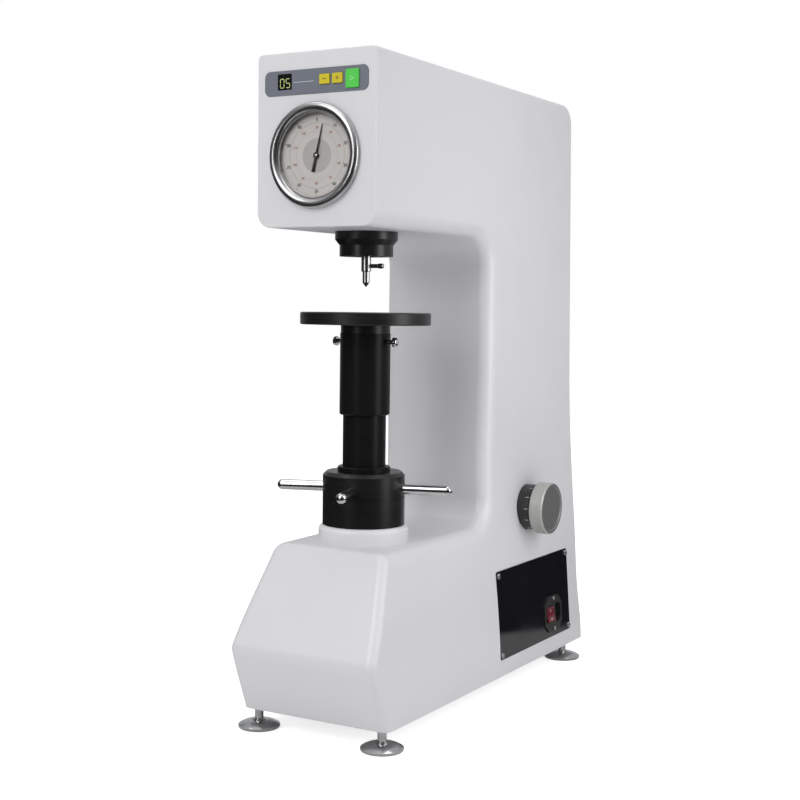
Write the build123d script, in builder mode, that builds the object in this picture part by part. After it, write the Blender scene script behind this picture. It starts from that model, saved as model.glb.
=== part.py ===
from build123d import *
import math
import os

os.makedirs("parts", exist_ok=True)

# ---------------------------------------------------------------------------
# Bench-top dial hardness tester. Millimetres, +Z up, operator on the -Y side.
# Every size is given from the spindle: x across (+x is the load-knob side),
# y back from the spindle axis, z up from the bench. The datum planes below put
# the origin of the finished part under the middle of the machine, on the bench.
# ---------------------------------------------------------------------------

# --- Housing: heights above the bench --------------------------------------
base_z = 23.0
nose_z = 98.0
sill_z = 156.0
deck_z = 211.0
flare_top_z = 408.0
head_z = 564.5
head_height = 188.0

# --- Housing: depths back from the spindle axis -----------------------------
toe_y = -102.5
nose_y = -134.0
deck_front_y = -73.0
head_front_y = -107.5
column_y = 170.0
rear_top_y = 409.0
rear_foot_y = 434.0

# --- Housing: half widths ----------------------------------------------------
body_half = 75.8
foot_half = 96.0
front_nose_half = 94.3
front_sill_half = 84.8
front_deck_half = 72.8
rear_nose_half = 89.6
rear_sill_half = 86.5
rear_deck_half = 83.5

# --- Housing: roundings and walls --------------------------------------------
foot_draft = 0.01
pick_slack = 0.5
throat_round = 36.0
nose_round = 16.0
rear_top_round = 26.0
side_round = 17.0
front_round = 10.0
back_round = 6.0
lip_round = 1.5
front_wall = 12.0
side_wall = 13.0
floor_wall = 12.0
deck_wall = 13.0
head_floor_wall = 13.5
roof_wall = 12.0
column_wall = 14.0
cavity_half = 62.0
cavity_back_y = 398.0

# --- Fits ----------------------------------------------------------------------
seat_gap = 0.2
run_gap = 0.05
part_gap = 0.3

# --- Covers --------------------------------------------------------------------
cover_thick = 3.0
cover_margin = 10.0
cover_corner = 8.0
top_opening_half = 50.0
top_opening_front_y = -60.0
top_opening_back_y = 372.0
rear_opening_half = 50.0
rear_opening_bottom = 62.0
rear_opening_drop = 52.5
cover_screw_r = 3.6
cover_screw_head = 2.2
cover_screw_shank_r = 2.0
cover_screw_reach = 8.0
cover_screw_end = 30.0
cover_edge = 0.6

# --- Front panel ------------------------------------------------------------------
strip_drop = 32.7
strip_half = 65.9
strip_height = 26.4
strip_corner = 7.0
strip_thick = 1.6
strip_recess = 0.8
strip_ledge = 1.0
key_drop = 31.5
window_x = -39.8
window_width = 18.4
window_height = 17.4
window_corner = 1.2
yellow_key_x = (12.0, 28.2)
yellow_key_width = 13.0
yellow_key_height = 10.6
green_key_x = 46.9
green_key_drop = 33.0
green_key_width = 16.4
green_key_height = 19.6
key_corner = 1.0
key_proud = 1.8
key_travel = 1.0
key_flange = 0.8
key_flange_thick = 1.0
board_thick = 1.6
board_half = 60.0
board_height = 24.0
switch_side = 6.0
switch_height = 2.5
plunger_r = 1.6

# --- Dial gauge -------------------------------------------------------------------
dial_above = 19.9
dial_below = 9.0
bezel_band = 11.4
bezel_proud = 8.0
bezel_sleeve_in = 7.0
bezel_sleeve_depth = 8.0
bezel_edge = 1.8
bezel_lip = 1.8
bezel_step = 1.4
dial_hole_in = 6.6
face_in = 9.0
face_thick = 1.2
face_front = -3.4
glass_thick = 1.6
glass_front = 1.6
needle_gap = 1.1
needle_thick = 0.6
needle_short = 13.6
needle_tail = 18.0
needle_tilt = 12.8
needle_half = 1.1
needle_tip_half = 0.35
needle_tail_half = 1.9
needle_hub_r = 3.6
arbor_r = 1.5
arbor_depth = 22.5
can_in = 12.6
can_depth = 34.0
can_flange_in = 2.6
can_flange = 2.5

# --- Spindle and indenter --------------------------------------------------------
shroud_r = 36.0
shroud_step = 9.0
shroud_nose_r = 30.7
shroud_slope = 6.5
shroud_drop = 28.0
shroud_bore_r = 12.0
spindle_r = 5.7
spindle_collar_r = 9.0
spindle_collar = 5.0
spindle_drop = 45.1
spindle_edge = 0.6
bush_r = 11.0
bush_flange_r = 15.0
bush_flange_thick = 4.0
indenter_r = 4.1
indenter_shank_r = 2.6
indenter_shank = 16.0
indenter_body = 12.4
indenter_cone = 5.0
indenter_tip_r = 0.4
set_screw_up = 6.4
set_screw_shank_r = 2.35
set_screw_reach = 23.0
set_screw_head = 6.0
set_screw_head_r = 2.9

# --- Work table, screw and sleeves ------------------------------------------------
table_r = 75.0
test_room = 29.2
table_thick = 14.0
table_edge = 1.2
table_hub_r = 28.4
table_hub = 9.6
screw_r = 16.0
screw_bottom_z = 112.0
screw_edge = 2.0
upper_sleeve_r = 29.0
upper_sleeve_wall = 3.2
sleeve_cap = 12.8
upper_sleeve_length = 93.4
lower_sleeve_r = 24.8
lower_sleeve_wall = 3.6
sleeve_room = 51.9
sleeve_foot_r = 30.5
sleeve_foot = 6.0
sleeve_edge = 1.2
thumb_drop = 9.7
thumb_shank_r = 2.5
thumb_head_r = 5.4
thumb_head_start = 37.6
thumb_head_end = 42.6
thumb_crown = 0.6

# --- Handwheel ------------------------------------------------------------------
hub_r = 47.4
hub_bottom_z = 229.5
hub_top_z = 290.4
hub_chamfer = 4.0
hub_groove_z = 262.0
hub_groove = 0.8
rod_count = 4
rod_r = 6.0
rod_z = 271.0
rod_start = 30.0
rod_reach = 104.0
rod_turn = 17.0
ring_r = 51.8
ring_round = 6.0
ring_bore_r = 24.0
washer_r = 38.0
washer_thick = 3.0
guide_r = 22.0
guide_drop = 8.0

# --- Load selector -----------------------------------------------------------------
knob_y = 277.5
knob_z = 223.0
load_dial_seat_x = 78.0
load_dial_r = 29.2
load_dial_end_x = 95.0
load_dial_edge = 1.0
knob_back_x = 96.6
knob_face_x = 115.0
knob_r = 33.2
knob_dish_r = 27.0
knob_dish = 1.4
knob_edge = 1.6
knob_cap = 6.0
shaft_r = 5.0
shaft_end_x = -57.0
selector_x = 22.0
selector_thick = 10.0
selector_r = 18.0
selector_notch_r = 6.0
shaft_bush_r = 9.0
shaft_bush_length = 9.0

# --- Power plate --------------------------------------------------------------------
plate_y = 282.5
plate_z = 98.0
plate_x = 89.0
plate_lean = 4.2
plate_length = 217.0
plate_height = 110.0
plate_thick = 2.2
plate_corner = 3.0
plate_rim_y = 16.5
plate_rim_z = 13.0
plate_screw_inset = 5.5
inlet_back = 55.8
inlet_under = 30.5
inlet_flange_length = 54.0
inlet_flange_cut = 11.0
inlet_flange_thick = 2.0
inlet_body_length = 51.0
inlet_body_height = 30.0
inlet_body_depth = 26.0
socket_along = 14.5
socket_length = 16.6
socket_height = 24.4
socket_cut = 4.5
socket_depth = 20.0
pin_length = 12.0
pin_wide = 4.0
pin_thin = 2.0
pin_side = 7.0
pin_step = 3.4
rocker_along = -10.0
rocker_length = 21.0
rocker_height = 19.0
rocker_well = 12.0
rocker_gap = 0.8
rocker_sink = 2.0
rocker_crest = 4.2
rocker_dip = 1.4
rocker_keel = 3.6
rocker_keel_half = 4.0
rocker_tilt = 6.5
rocker_pin_r = 1.5
rocker_pin = 1.6
inlet_screw_spacing = 40.0
inlet_screw_edge = 3.0
inlet_screw_r = 2.6
inlet_screw_shank_r = 1.5

# --- Feet ---------------------------------------------------------------------------
foot_x = 81.5
foot_front_y = -90.0
foot_back_y = 397.0
pad_r = 23.9
pad_edge = 3.2
pad_boss_r = 7.5
pad_height = 9.5
pad_bevel = 1.0
pad_swell = 0.62
stud_r = 5.0
stud_top_z = 50.0

# --- Lever works inside the housing ---------------------------------------------------
lever_up = 32.0
lever_height = 24.0
lever_half = 8.0
lever_front_y = -42.0
lever_back_y = 318.0
pivot_y = -25.0
fulcrum_half = 14.0
fulcrum_foot = 14.0
fulcrum_tip = 1.0
fulcrum_base = 8.0
hanger_y = 300.0
hanger_rod_r = 6.0
hanger_foot_r = 14.0
hanger_foot_thick = 6.0
yoke_half_depth = 8.0
yoke_cheek = 5.0
yoke_top = 8.0
yoke_drop = 20.0
yoke_clear = 0.5
hanger_foot_z = 290.3
weight_r = 52.0
weight_seat_r = 20.0
weight_edge = 1.5
weight_bottom_z = 330.0
weight_thicks = {"large": 40.0, "middle": 26.0, "small": 18.0}
cam_z = 262.0
cam_r = 22.0
cam_throw = 6.0
cam_half = 6.0
motor_r = 26.0
motor_face_x = -18.0
motor_shaft_r = 4.0
motor_flange_r = 30.0
motor_flange = 4.0
motor_boss_r = 12.0
motor_boss = 6.0
damper_y = 216.0
damper_r = 18.0
damper_below = 50.0
damper_length = 90.0
damper_rod_r = 4.0
damper_wall = 3.0
piston_rest = 20.0
piston_thick = 12.0
supply_x = -28.0
supply_y = 250.0
supply_width = 50.0
supply_length = 74.0
supply_height = 44.0
supply_corner = 4.0
supply_lid_inset = 6.0
supply_lid = 8.0

# --- Derived places -----------------------------------------------------------------
mid_x = (foot_x + pad_r - knob_face_x) / 2
spindle_y = -(nose_y + rear_foot_y) / 2
top_z = head_z + head_height
rear_lean = math.degrees(math.atan2(rear_foot_y - rear_top_y, top_z - base_z))
roof_z = top_z - roof_wall
head_floor_z = head_z + head_floor_wall
deck_under_z = deck_z - deck_wall
floor_z = base_z + floor_wall
rear_opening_top = top_z - rear_opening_drop
strip_z = top_z - strip_drop
key_z = top_z - key_drop
green_key_z = top_z - green_key_drop
bezel_r = (strip_z - strip_height / 2 - head_z - dial_above - dial_below) / 2
dial_z = head_z + dial_above + bezel_r
bezel_inner_r = bezel_r - bezel_band
bezel_sleeve_r = bezel_r - bezel_sleeve_in
dial_hole_r = bezel_r - dial_hole_in
face_r = bezel_r - face_in
needle_length = face_r - needle_short
can_r = bezel_r - can_in
can_flange_r = bezel_r - can_flange_in
shroud_step_z = head_z - shroud_step
shroud_nose_z = shroud_step_z - shroud_slope
shroud_bottom_z = head_z - shroud_drop
spindle_bottom_z = head_z - spindle_drop
indenter_shoulder_z = spindle_bottom_z - indenter_body
indenter_tip_z = indenter_shoulder_z - indenter_cone
set_screw_z = spindle_bottom_z + set_screw_up
table_top_z = indenter_tip_z - test_room
table_under_z = table_top_z - table_thick
sleeve_top_z = table_under_z - table_hub
upper_sleeve_bottom_z = sleeve_top_z - upper_sleeve_length
lower_sleeve_top_z = sleeve_top_z - sleeve_cap - sleeve_room
thumb_z = sleeve_top_z - thumb_drop
plate_opening_length = plate_length - 2 * plate_rim_y
plate_opening_height = plate_height - 2 * plate_rim_z
inlet_along = plate_length / 2 - inlet_back
inlet_drop = plate_height / 2 - inlet_under
inlet_flange_height = inlet_screw_spacing + 2 * inlet_screw_edge
lever_z = head_floor_z + lever_up
damper_top_z = lever_z - damper_below
damper_bottom_z = damper_top_z - damper_length
strip_face_y = head_front_y - strip_thick + strip_recess
strip_back_y = head_front_y + strip_recess
board_y = head_front_y + front_wall + part_gap


def level(z, x=0.0, y=0.0):
    """Horizontal plane seen from above."""
    return Plane(origin=(mid_x + x, spindle_y + y, z), x_dir=(1, 0, 0), z_dir=(0, 0, 1))


def upright(y, x=0.0, z=0.0):
    """Vertical plane across the machine, facing the operator."""
    return Plane(origin=(mid_x + x, spindle_y + y, z), x_dir=(1, 0, 0), z_dir=(0, -1, 0))


def flank(x, y=0.0, z=0.0):
    """Vertical plane along the machine, facing the knob side."""
    return Plane(origin=(mid_x + x, spindle_y + y, z), x_dir=(0, 1, 0), z_dir=(1, 0, 0))


def dial_section():
    """Section plane of the dial: x is radius, y is distance in front of the head's face."""
    centre = (mid_x, spindle_y + head_front_y, dial_z)
    return Plane(origin=centre, x_dir=(1, 0, 0), z_dir=(0, 0, -1))


def knob_section():
    """Section plane of the load selector: x is radius, y is distance out along its shaft."""
    centre = (mid_x, spindle_y + knob_y, knob_z)
    return Plane(origin=centre, x_dir=(0, 0, 1), z_dir=(0, 1, 0))


def rear_y(z):
    """Depth of the leaning rear face at a height."""
    return rear_foot_y - (rear_foot_y - rear_top_y) * (z - base_z) / (top_z - base_z)


def rear_face(z):
    """Plane on the leaning rear face of the housing, seen from behind."""
    lean = math.radians(rear_lean)
    normal = (0, math.cos(lean), math.sin(lean))
    return Plane(origin=(mid_x, spindle_y + rear_y(z), z), x_dir=(-1, 0, 0), z_dir=normal)


def side_face(along=0.0, up=0.0, out=0.0):
    """Plane of the leaning pad that carries the power plate, seen from the side."""
    lean = math.radians(plate_lean)
    normal = Vector(math.cos(lean), 0, math.sin(lean))
    rise = Vector(-math.sin(lean), 0, math.cos(lean))
    centre = Vector(mid_x + plate_x, spindle_y + plate_y + along, plate_z)
    return Plane(origin=centre + rise * up + normal * out, x_dir=(0, 1, 0), z_dir=normal)


def save(piece, name):
    """Label a finished piece and write it to its own file."""
    piece.part.label = name
    export_step(piece.part, f"parts/{name}.step")


def turned(points, plane):
    """Turn a closed outline of (radius, height) points about its plane's height axis."""
    with BuildPart() as piece:
        with BuildSketch(plane):
            with BuildLine():
                Polyline(*points, close=True)
            make_face()
        revolve(axis=Axis(plane.origin, plane.y_dir))
    return piece


# ---------------------------------------------------------------------------
# Housing: one cast body, drafted foot, deck, column and overhanging head
# ---------------------------------------------------------------------------

def front_outline(plane, nose_half, sill_half, deck_half):
    """Front view of the housing, flared from the column out to the foot."""
    with BuildSketch(plane) as outline:
        with BuildLine():
            side = Spline(
                (foot_half, base_z),
                (nose_half, nose_z),
                (sill_half, sill_z),
                (deck_half, deck_z),
                (body_half, flare_top_z),
                tangents=[(-foot_draft, 1), (0, 1)],
            )
            up = Line(side @ 1, (body_half, top_z))
            Line(up @ 1, (0, top_z))
            mirror(about=Plane.YZ)
            Line((-foot_half, base_z), (foot_half, base_z))
        make_face()
    return outline.sketch


def runs_along(edge, low_y, high_y, low_z, high_z):
    """True for an edge of the housing's sides that lies within a stretch."""
    box = edge.bounding_box()
    inside_y = box.min.Y > spindle_y + low_y - pick_slack and box.max.Y < spindle_y + high_y + pick_slack
    inside_z = box.min.Z > low_z - pick_slack and box.max.Z < high_z + pick_slack
    at_side = abs(edge.center().X - mid_x) > body_half / 2
    return inside_y and inside_z and at_side


def screw_spacing(opening_half, opening_length):
    """Spacing across and along of a cover's two rows of three screws."""
    return 2 * opening_half + cover_margin, opening_length / 2 - cover_screw_end


with BuildPart() as housing:
    front = front_outline(upright(nose_y), front_nose_half, front_sill_half, front_deck_half)
    back = front_outline(upright(rear_foot_y), rear_nose_half, rear_sill_half, rear_deck_half)
    loft([front, back], ruled=True)
    with BuildSketch(flank(-foot_half)):
        with BuildLine():
            FilletPolyline(
                (rear_foot_y, base_z),
                (toe_y, base_z),
                (nose_y, nose_z),
                (deck_front_y, deck_z),
                (column_y, deck_z),
                (column_y, head_z),
                (head_front_y, head_z),
                (head_front_y, top_z),
                (rear_top_y, top_z),
                radius=[0, 0, nose_round, 0, throat_round, throat_round, 0, 0, rear_top_round],
                close=True,
            )
        make_face()
    extrude(amount=2 * foot_half, mode=Mode.INTERSECT)

    # sides of the deck, the column and the head's underside, in one run
    throat_sides = housing.edges().filter_by(
        lambda e: runs_along(e, deck_front_y, column_y, deck_z, head_z)
        or runs_along(e, head_front_y, column_y, head_z, head_z)
    )
    fillet(throat_sides, radius=side_round)

    # uprights of the nose, which lead into the deck's front edge
    nose_sides = housing.edges().filter_by(
        lambda e: runs_along(e, nose_y, deck_front_y + pick_slack, base_z, deck_z)
        and e.bounding_box().size.Z > side_round / 4
    )
    fillet(nose_sides, radius=front_round)

    # rear uprights and the long top edges
    back_edges = housing.edges().filter_by(
        lambda e: (runs_along(e, rear_top_y - rear_top_round, rear_foot_y, base_z, top_z)
                   and e.bounding_box().size.Z > rear_top_round / 2)
        or (runs_along(e, head_front_y, rear_foot_y, top_z, top_z) and e.length > rear_top_round)
    )
    fillet(back_edges, radius=back_round)

    # lip round the head's front face
    lip = housing.edges().filter_by(
        lambda e: e.bounding_box().max.Y < spindle_y + head_front_y + pick_slack
        and e.bounding_box().min.Z > head_z - pick_slack
    )
    fillet(lip, radius=lip_round)

    # inside: head, column and foot cavities
    cavity_front_y = head_front_y + front_wall
    with BuildSketch(level(head_floor_z)):
        with Locations((0, (cavity_front_y + cavity_back_y) / 2)):
            Rectangle(2 * cavity_half, cavity_back_y - cavity_front_y)
    extrude(amount=roof_z - head_floor_z, mode=Mode.SUBTRACT)
    with BuildSketch(level(floor_z)):
        with Locations((0, (column_y + column_wall + cavity_back_y) / 2)):
            Rectangle(2 * cavity_half, cavity_back_y - column_y - column_wall)
    extrude(amount=roof_z - floor_z, mode=Mode.SUBTRACT)
    foot_cavity_front_y = deck_front_y + front_wall
    with BuildSketch(level(floor_z)):
        with Locations((0, (foot_cavity_front_y + cavity_back_y) / 2)):
            Rectangle(2 * cavity_half, cavity_back_y - foot_cavity_front_y)
    extrude(amount=deck_under_z - floor_z, mode=Mode.SUBTRACT)

    # roof opening with its sunk seat for the top cover
    roof_mid_y = (top_opening_front_y + top_opening_back_y) / 2
    roof_length = top_opening_back_y - top_opening_front_y
    with BuildSketch(level(roof_z, y=roof_mid_y)):
        RectangleRounded(2 * top_opening_half, roof_length, cover_corner)
    extrude(amount=roof_wall, mode=Mode.SUBTRACT)
    with BuildSketch(level(top_z - cover_thick, y=roof_mid_y)):
        RectangleRounded(
            2 * (top_opening_half + cover_margin + seat_gap),
            roof_length + 2 * (cover_margin + seat_gap),
            cover_corner + cover_margin,
        )
    extrude(amount=cover_thick, mode=Mode.SUBTRACT)

    with BuildSketch(level(top_z - cover_thick, y=roof_mid_y)):
        with GridLocations(*screw_spacing(top_opening_half, roof_length), 2, 3):
            Circle(cover_screw_shank_r + run_gap)
    extrude(amount=-cover_screw_reach, mode=Mode.SUBTRACT)

    # rear opening with its sunk seat for the rear cover
    rear_mid_z = (rear_opening_bottom + rear_opening_top) / 2
    rear_length = (rear_opening_top - rear_opening_bottom) / math.cos(math.radians(rear_lean))
    with BuildSketch(rear_face(rear_mid_z)):
        RectangleRounded(2 * rear_opening_half, rear_length, cover_corner)
    extrude(amount=-(rear_foot_y - cavity_back_y + cover_thick), mode=Mode.SUBTRACT)
    with BuildSketch(rear_face(rear_mid_z)):
        RectangleRounded(
            2 * (rear_opening_half + cover_margin + seat_gap),
            rear_length + 2 * (cover_margin + seat_gap),
            cover_corner + cover_margin,
        )
    extrude(amount=-cover_thick, mode=Mode.SUBTRACT)

    with BuildSketch(rear_face(rear_mid_z).offset(-cover_thick)):
        with GridLocations(*screw_spacing(rear_opening_half, rear_length), 2, 3):
            Circle(cover_screw_shank_r + run_gap)
    extrude(amount=-cover_screw_reach, mode=Mode.SUBTRACT)

    # front wall: sunk seat of the strip, window through to the board, dial hole
    with BuildSketch(upright(head_front_y, z=strip_z)):
        RectangleRounded(2 * (strip_half + seat_gap), strip_height + 2 * seat_gap, strip_corner)
    extrude(amount=-strip_recess, mode=Mode.SUBTRACT)
    with BuildSketch(upright(head_front_y, z=strip_z)):
        RectangleRounded(2 * (board_half - strip_ledge), strip_height - 2 * strip_ledge, strip_corner / 2)
    extrude(amount=-front_wall, mode=Mode.SUBTRACT)
    with BuildSketch(upright(head_front_y, z=dial_z)):
        Circle(dial_hole_r)
    extrude(amount=-front_wall, mode=Mode.SUBTRACT)

    # bores for the spindle bush and the screw guide
    with BuildSketch(level(head_z)):
        Circle(bush_r + run_gap)
    extrude(amount=head_floor_wall, mode=Mode.SUBTRACT)
    with BuildSketch(level(deck_under_z)):
        Circle(guide_r + run_gap)
    extrude(amount=deck_wall, mode=Mode.SUBTRACT)

    # spot face and shaft hole of the load selector
    with BuildSketch(flank(load_dial_seat_x, knob_y, knob_z)):
        Circle(load_dial_r + part_gap)
    extrude(amount=foot_half - load_dial_seat_x, mode=Mode.SUBTRACT)
    with BuildSketch(flank(cavity_half, knob_y, knob_z)):
        Circle(shaft_r + part_gap)
    extrude(amount=load_dial_seat_x - cavity_half, mode=Mode.SUBTRACT)

    # flat pad and opening behind the power plate
    with BuildSketch(side_face()):
        RectangleRounded(plate_length + 2 * seat_gap, plate_height + 2 * seat_gap, plate_corner)
    extrude(amount=side_wall, mode=Mode.SUBTRACT)
    with BuildSketch(side_face()):
        RectangleRounded(plate_opening_length, plate_opening_height, plate_corner)
    extrude(amount=-(plate_x - cavity_half + side_wall / 2), mode=Mode.SUBTRACT)

    # tapped holes for the four feet
    for foot_y in (foot_front_y, foot_back_y):
        for side in (-1, 1):
            with BuildSketch(level(base_z, side * foot_x, foot_y)):
                Circle(stud_r + run_gap)
            extrude(amount=stud_top_z - base_z + part_gap, mode=Mode.SUBTRACT)
save(housing, "housing")


# ---------------------------------------------------------------------------
# Covers and their screws
# ---------------------------------------------------------------------------

def round_heads(screws, plane):
    """Round the outer rims of the screw heads drawn on a plane."""
    out = Axis(plane.origin, plane.z_dir)
    heads = screws.faces().filter_by(out).group_by(out)[-1]
    fillet(heads.edges(), radius=cover_screw_head / 2)


def cover_plate(plane, opening_half, opening_length):
    """Sunk cover plate, drilled for its screws."""
    with BuildPart() as plate:
        with BuildSketch(plane):
            RectangleRounded(
                2 * (opening_half + cover_margin),
                opening_length + 2 * cover_margin,
                cover_corner + cover_margin - seat_gap,
            )
            with GridLocations(*screw_spacing(opening_half, opening_length), 2, 3):
                Circle(cover_screw_shank_r + run_gap, mode=Mode.SUBTRACT)
        extrude(amount=-cover_thick)
        outer_face = plate.faces().sort_by(Axis(plane.origin, plane.z_dir))[-1]
        chamfer(outer_face.outer_wire().edges(), length=cover_edge)
    return plate


def cover_screws(plane, opening_half, opening_length):
    """Pan-head screws of a cover, one solid each."""
    with BuildPart() as screws:
        with BuildSketch(plane):
            with GridLocations(*screw_spacing(opening_half, opening_length), 2, 3):
                Circle(cover_screw_r)
        extrude(amount=cover_screw_head)
        round_heads(screws, plane)
        with BuildSketch(plane):
            with GridLocations(*screw_spacing(opening_half, opening_length), 2, 3):
                Circle(cover_screw_shank_r)
        extrude(amount=-(cover_thick + cover_screw_reach - part_gap))
    return screws


roof_plane = level(top_z, y=roof_mid_y)
save(cover_plate(roof_plane, top_opening_half, roof_length), "top_cover")
save(cover_screws(roof_plane, top_opening_half, roof_length), "top_cover_screws")
rear_plane = rear_face(rear_mid_z)
save(cover_plate(rear_plane, rear_opening_half, rear_length), "rear_cover")
save(cover_screws(rear_plane, rear_opening_half, rear_length), "rear_cover_screws")

# ---------------------------------------------------------------------------
# Front panel: strip, display window, three keys and the board behind them
# ---------------------------------------------------------------------------
keys = {
    "left_key": (yellow_key_x[0], key_z, yellow_key_width, yellow_key_height),
    "middle_key": (yellow_key_x[1], key_z, yellow_key_width, yellow_key_height),
    "green_key": (green_key_x, green_key_z, green_key_width, green_key_height),
}
strip_plane = upright(strip_face_y, z=strip_z)

with BuildPart() as panel_strip:
    with BuildSketch(strip_plane):
        RectangleRounded(2 * strip_half, strip_height, strip_corner)
        with Locations((window_x, key_z - strip_z)):
            RectangleRounded(window_width, window_height, window_corner, mode=Mode.SUBTRACT)
        for x, z, width, height in keys.values():
            with Locations((x, z - strip_z)):
                RectangleRounded(width + 2 * seat_gap, height + 2 * seat_gap, key_corner, mode=Mode.SUBTRACT)
    extrude(amount=-strip_thick)
save(panel_strip, "panel_strip")

with BuildPart() as display:
    with BuildSketch(upright(strip_face_y + seat_gap, window_x, key_z)):
        RectangleRounded(window_width - 2 * seat_gap, window_height - 2 * seat_gap, window_corner)
    extrude(amount=-(board_y - strip_face_y - seat_gap))
save(display, "display_window")

key_back_y = board_y - switch_height - key_travel - part_gap
for name, (x, z, width, height) in keys.items():
    with BuildPart() as key:
        with BuildSketch(upright(strip_face_y - key_proud, x, z)):
            RectangleRounded(width, height, key_corner)
        extrude(amount=-(key_proud + strip_thick + part_gap))
        front_rim = key.faces().sort_by(Axis.Y)[0].edges()
        fillet(front_rim, radius=key_corner / 2)
        with BuildSketch(upright(strip_back_y + part_gap, x, z)):
            RectangleRounded(width + 2 * key_flange, height + 2 * key_flange, key_corner)
        extrude(amount=-key_flange_thick)
        with BuildSketch(upright(strip_back_y + part_gap, x, z)):
            Circle(plunger_r)
        extrude(amount=-(key_back_y - strip_back_y - part_gap))
    save(key, name)

with BuildPart() as control_board:
    with BuildSketch(upright(board_y, z=strip_z)):
        Rectangle(2 * board_half, board_height)
    extrude(amount=-board_thick)
    for x, z, width, height in keys.values():
        with BuildSketch(upright(board_y, x, z)):
            Rectangle(switch_side, switch_side)
        extrude(amount=switch_height)
save(control_board, "control_board")

# ---------------------------------------------------------------------------
# Dial gauge: can, face, needle, glass and the turning bezel
# ---------------------------------------------------------------------------

bezel_crown_r = (bezel_r + bezel_inner_r) / 2
with BuildPart() as dial_bezel:
    with BuildSketch(dial_section()):
        with BuildLine():
            inner = Polyline(
                (bezel_r - bezel_edge, 0),
                (bezel_sleeve_r, 0),
                (bezel_sleeve_r, -bezel_sleeve_depth),
                (face_r + run_gap, -bezel_sleeve_depth),
                (face_r + run_gap, glass_front + run_gap),
                (bezel_inner_r, glass_front + run_gap),
                (bezel_inner_r, glass_front + bezel_edge),
                (bezel_inner_r + bezel_lip, glass_front + bezel_edge),
                (bezel_inner_r + bezel_lip, glass_front + bezel_edge + bezel_step),
            )
            crown = ThreePointArc(inner @ 1, (bezel_crown_r, bezel_proud), (bezel_r, bezel_edge))
            Line(crown @ 1, inner @ 0)
        make_face()
    revolve(axis=Axis(dial_section().origin, dial_section().y_dir))
save(dial_bezel, "dial_bezel")

glass_back = glass_front - glass_thick
glass_points = [(0, glass_front), (face_r, glass_front), (face_r, glass_back), (0, glass_back)]
save(turned(glass_points, dial_section()), "dial_glass")

face_points = [
    (arbor_r + part_gap, face_front),
    (face_r, face_front),
    (face_r, face_front - face_thick),
    (arbor_r + part_gap, face_front - face_thick),
]
save(turned(face_points, dial_section()), "dial_face")

needle_back = face_front + needle_gap
needle_turn = math.radians(needle_tilt)
needle_plane = Plane(
    origin=upright(head_front_y - needle_back, z=dial_z).origin,
    x_dir=(math.cos(needle_turn), 0, -math.sin(needle_turn)),
    z_dir=(0, -1, 0),
)
with BuildPart() as dial_needle:
    with BuildSketch(needle_plane):
        with BuildLine():
            Polyline(
                (-needle_tail_half, -needle_tail),
                (needle_tail_half, -needle_tail),
                (needle_half, 0),
                (needle_tip_half, needle_length),
                (-needle_tip_half, needle_length),
                (-needle_half, 0),
                close=True,
            )
        make_face()
        Circle(needle_hub_r)
    extrude(amount=needle_thick)
    with BuildSketch(upright(head_front_y + arbor_depth, z=dial_z)):
        Circle(arbor_r)
    extrude(amount=arbor_depth + needle_back)
save(dial_needle, "dial_needle")

can_points = [
    (arbor_r + run_gap, -front_wall),
    (can_flange_r, -front_wall),
    (can_flange_r, -front_wall - can_flange),
    (can_r, -front_wall - can_flange),
    (can_r, -front_wall - can_depth),
    (0, -front_wall - can_depth),
    (0, -arbor_depth - part_gap),
    (arbor_r + run_gap, -arbor_depth - part_gap),
]
save(turned(can_points, dial_section()), "gauge_can")

# ---------------------------------------------------------------------------
# Spindle: guide bush, spindle, shroud, indenter and its set screw
# ---------------------------------------------------------------------------
stack = upright(0)
bush_points = [
    (spindle_r + run_gap, head_z),
    (bush_r, head_z),
    (bush_r, head_floor_z),
    (bush_flange_r, head_floor_z),
    (bush_flange_r, head_floor_z + bush_flange_thick),
    (spindle_r + run_gap, head_floor_z + bush_flange_thick),
]
save(turned(bush_points, stack), "spindle_bush")

spindle_top_z = lever_z - part_gap
with BuildPart() as spindle:
    with BuildSketch(level(spindle_bottom_z)):
        Circle(spindle_r)
    extrude(amount=spindle_top_z - spindle_bottom_z)
    with BuildSketch(level(head_floor_z + bush_flange_thick + part_gap)):
        Circle(spindle_collar_r)
    extrude(amount=spindle_collar)
    with BuildSketch(level(spindle_bottom_z)):
        Circle(indenter_shank_r + run_gap)
    extrude(amount=indenter_shank + part_gap, mode=Mode.SUBTRACT)
    with BuildSketch(flank(0, z=set_screw_z)):
        Circle(set_screw_shank_r + run_gap)
    extrude(amount=spindle_r * 2, mode=Mode.SUBTRACT)
    foot = spindle.edges().filter_by(GeomType.CIRCLE).group_by(Axis.Z)[0].sort_by(SortBy.RADIUS)[-1]
    chamfer(foot, length=spindle_edge)
save(spindle, "spindle")

shroud_points = [
    (shroud_bore_r, head_z),
    (shroud_r, head_z),
    (shroud_r, shroud_step_z),
    (shroud_nose_r, shroud_nose_z),
    (shroud_nose_r, shroud_bottom_z),
    (shroud_bore_r, shroud_bottom_z),
]
save(turned(shroud_points, stack), "spindle_shroud")

indenter_points = [
    (0, indenter_tip_z),
    (indenter_tip_r, indenter_tip_z),
    (indenter_r, indenter_shoulder_z),
    (indenter_r, spindle_bottom_z),
    (indenter_shank_r, spindle_bottom_z),
    (indenter_shank_r, spindle_bottom_z + indenter_shank),
    (0, spindle_bottom_z + indenter_shank),
]
save(turned(indenter_points, stack), "indenter")


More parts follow.
